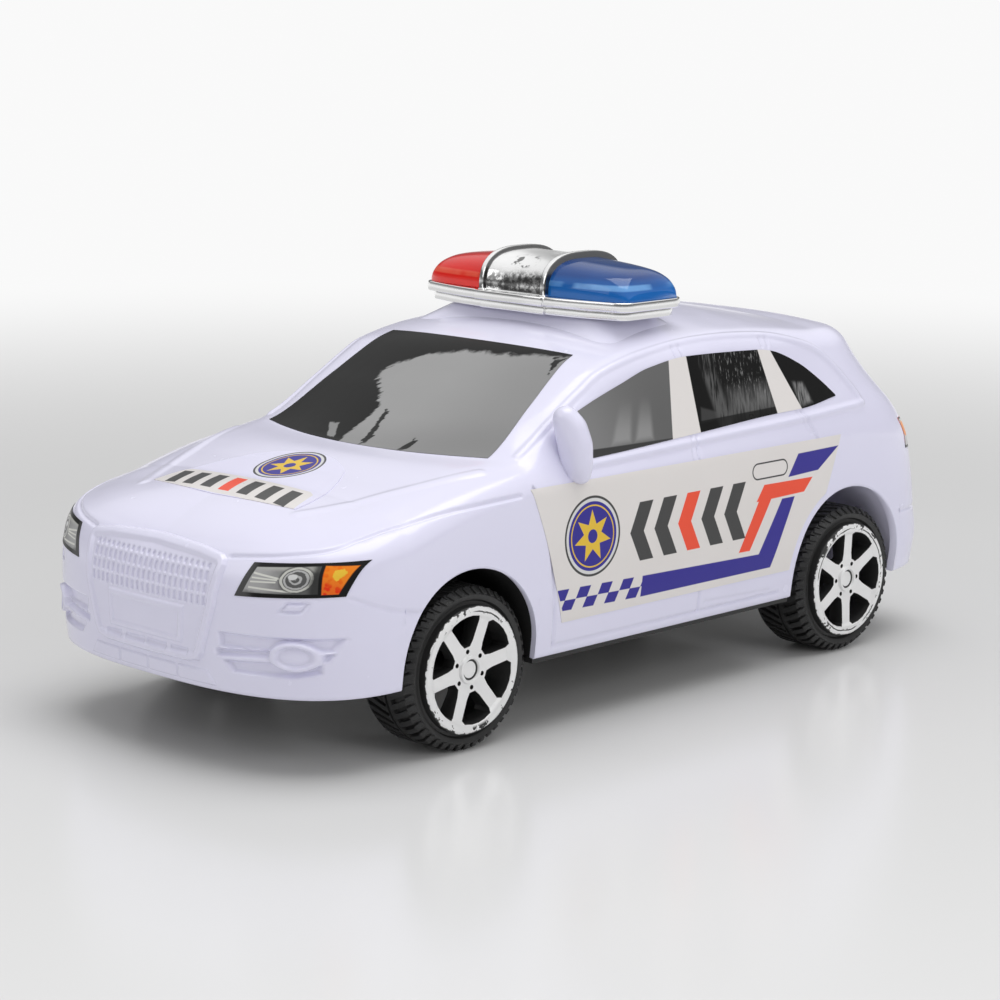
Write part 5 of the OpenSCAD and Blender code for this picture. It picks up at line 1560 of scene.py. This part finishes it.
def lens(name, side, node, finish):
    form = bmesh.new()
    for vert, (along, around) in grid(form, 44, 40).items():
        x = mix(lens_start, lens_end, 1 - (1 - along) ** end_crowding)
        turn = around * math.pi
        out = math.copysign(abs(math.cos(turn)) ** (2 / lens_power), math.cos(turn))
        up = max(math.sin(turn), 0.0) ** (2 / lens_power)
        vert.co = (side * x, bar_y + out * lens_depth(x), lens_foot_z + up * lens_rise(x))
    edges = [edge for edge in form.edges if edge.is_boundary]
    outer = [edge for edge in edges if all(abs(vert.co.x) > lens_end - 0.01 for vert in edge.verts)]
    inner = [edge for edge in edges if all(abs(vert.co.x) < lens_start + 0.01 for vert in edge.verts)]
    bmesh.ops.contextual_create(form, geom=outer)
    bmesh.ops.contextual_create(form, geom=inner)
    low = [edge for edge in form.edges if edge.is_boundary]
    bmesh.ops.contextual_create(form, geom=low)
    bmesh.ops.recalc_face_normals(form, faces=form.faces)
    piece(name, form, "car", finish, [node], 50.0)


lens("red_clear_lens", -1, "red_lens", red_clear)
lens("blue_clear_lens", 1, "blue_lens", blue_clear)


# Pieces that keep their shape
def dress(finish, *names):
    for name in names:
        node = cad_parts[name]
        node.data.materials.clear()
        node.data.materials.append(finish)


dress(black_plastic, "chassis")
dress(case_plastic, "motor_case", "motor_cover")
dress(steel, "front_axle", "rear_axle", "idler_shaft", "flywheel", "motor_screws", "chassis_screws")
dress(gear_plastic, "axle_gear", "idler_gear")


# Studio
floor_half = 14.0
glow_start = 240.0
glow_end = 900.0
backdrop = grey(0.95)


def studio_floor():
    form = bmesh.new()
    bmesh.ops.create_grid(form, x_segments=1, y_segments=1, size=floor_half)
    mesh = bpy.data.meshes.new("studio_floor")
    form.to_mesh(mesh)
    form.free()
    finish = Finish("floor_card", Roughness=0.22)
    x, y, _ = finish.place()
    cloud = finish.noise(3.0, 2.0)
    finish.set(Base_Color=finish.blend(cloud, grey(0.74), grey(0.76)))
    glow = finish.node("ShaderNodeEmission", inputs={"Color": backdrop, "Strength": 1.0})
    distance = finish.ramp((x * x + y * y) ** 0.5, glow_start, glow_end)
    inputs = {0: distance, 1: Value(finish, finish.surface.outputs[0]), 2: glow}
    shader = finish.node("ShaderNodeMixShader", inputs=inputs)
    finish.feed(finish.existing("OUTPUT_MATERIAL").inputs["Surface"], shader)
    mesh.materials.append(finish.material)
    floor = bpy.data.objects.new("studio_floor", mesh)
    bpy.context.scene.collection.objects.link(floor)


def studio_world():
    """Pale all round for the camera; a darker wall between floor and ceiling shows in the gloss."""
    world = bpy.data.worlds.new("studio")
    bpy.context.scene.world = world
    world.use_nodes = True
    nodes = Nodes(world.node_tree)
    ends = [(0.02, grey(0.5)), (0.62, grey(0.9))]
    between = [(0.1, grey(0.16)), (0.3, grey(0.14)), (0.42, grey(0.7))]
    height = nodes.split(nodes.node("ShaderNodeTexCoord", output="Generated"))[2]
    wall_shade = nodes.node("ShaderNodeValToRGB", {"stops": ends + between}, {0: height})
    in_gloss = nodes.node("ShaderNodeLightPath", output="Is Glossy Ray")
    in_view = nodes.node("ShaderNodeLightPath", output="Is Camera Ray")
    shade = nodes.paint(grey(0.53), (in_gloss, wall_shade), (in_view, backdrop))
    sky = nodes.existing("BACKGROUND")
    nodes.feed(sky.inputs["Color"], shade)
    nodes.feed(sky.inputs["Strength"], 1.0)


def lamp(name, place, aim, size, power, in_gloss=True):
    light = bpy.data.lights.new(name, "AREA")
    light.shape = "RECTANGLE"
    light.size = size[0]
    light.size_y = size[1]
    light.energy = power
    thing = bpy.data.objects.new(name, light)
    thing.location = place
    thing.rotation_euler = (Vector(aim) - Vector(place)).to_track_quat("-Z", "Y").to_euler()
    thing.visible_glossy = in_gloss
    bpy.context.scene.collection.objects.link(thing)


studio_floor()
studio_world()
lamp("top_light", place=(0.2, 0.3, 2.6), aim=(0, 0, 0), size=(2.2, 2.2), power=42.0)
lamp("front_light", place=(-0.5, -1.2, 0.7), aim=(0, 0, 0.05), size=(0.6, 0.8), power=1.6)
lamp("side_light", place=(1.4, -0.1, 0.7), aim=(0, 0, 0.05), size=(0.6, 0.8), power=4.0, in_gloss=False)


# Camera at the photograph's viewing angle
camera_place = (0.48216, -0.4995, 0.17542)
camera_turn = 44.271
camera_lift = 10.805
camera_roll = 0.543
camera_lens = 99.89
sensor_width = 36.0


def studio_camera():
    turn = math.radians(camera_turn)
    lift = math.radians(camera_lift)
    roll = math.radians(camera_roll)
    back = Vector((math.sin(turn) * math.cos(lift), -math.cos(turn) * math.cos(lift), math.sin(lift)))
    right = Vector((math.cos(turn), math.sin(turn), 0))
    up = back.cross(right)
    level = right * math.cos(roll) + up * math.sin(roll)
    upright = up * math.cos(roll) - right * math.sin(roll)
    data = bpy.data.cameras.new("camera")
    data.sensor_width = sensor_width
    data.lens = camera_lens
    data.clip_start = 0.01
    data.clip_end = 50.0
    camera = bpy.data.objects.new("camera", data)
    turned = Matrix((level, upright, back)).transposed().to_4x4()
    camera.matrix_world = Matrix.Translation(camera_place) @ turned
    bpy.context.scene.collection.objects.link(camera)
    bpy.context.scene.camera = camera


studio_camera()
bpy.context.scene.view_settings.view_transform = "Standard"
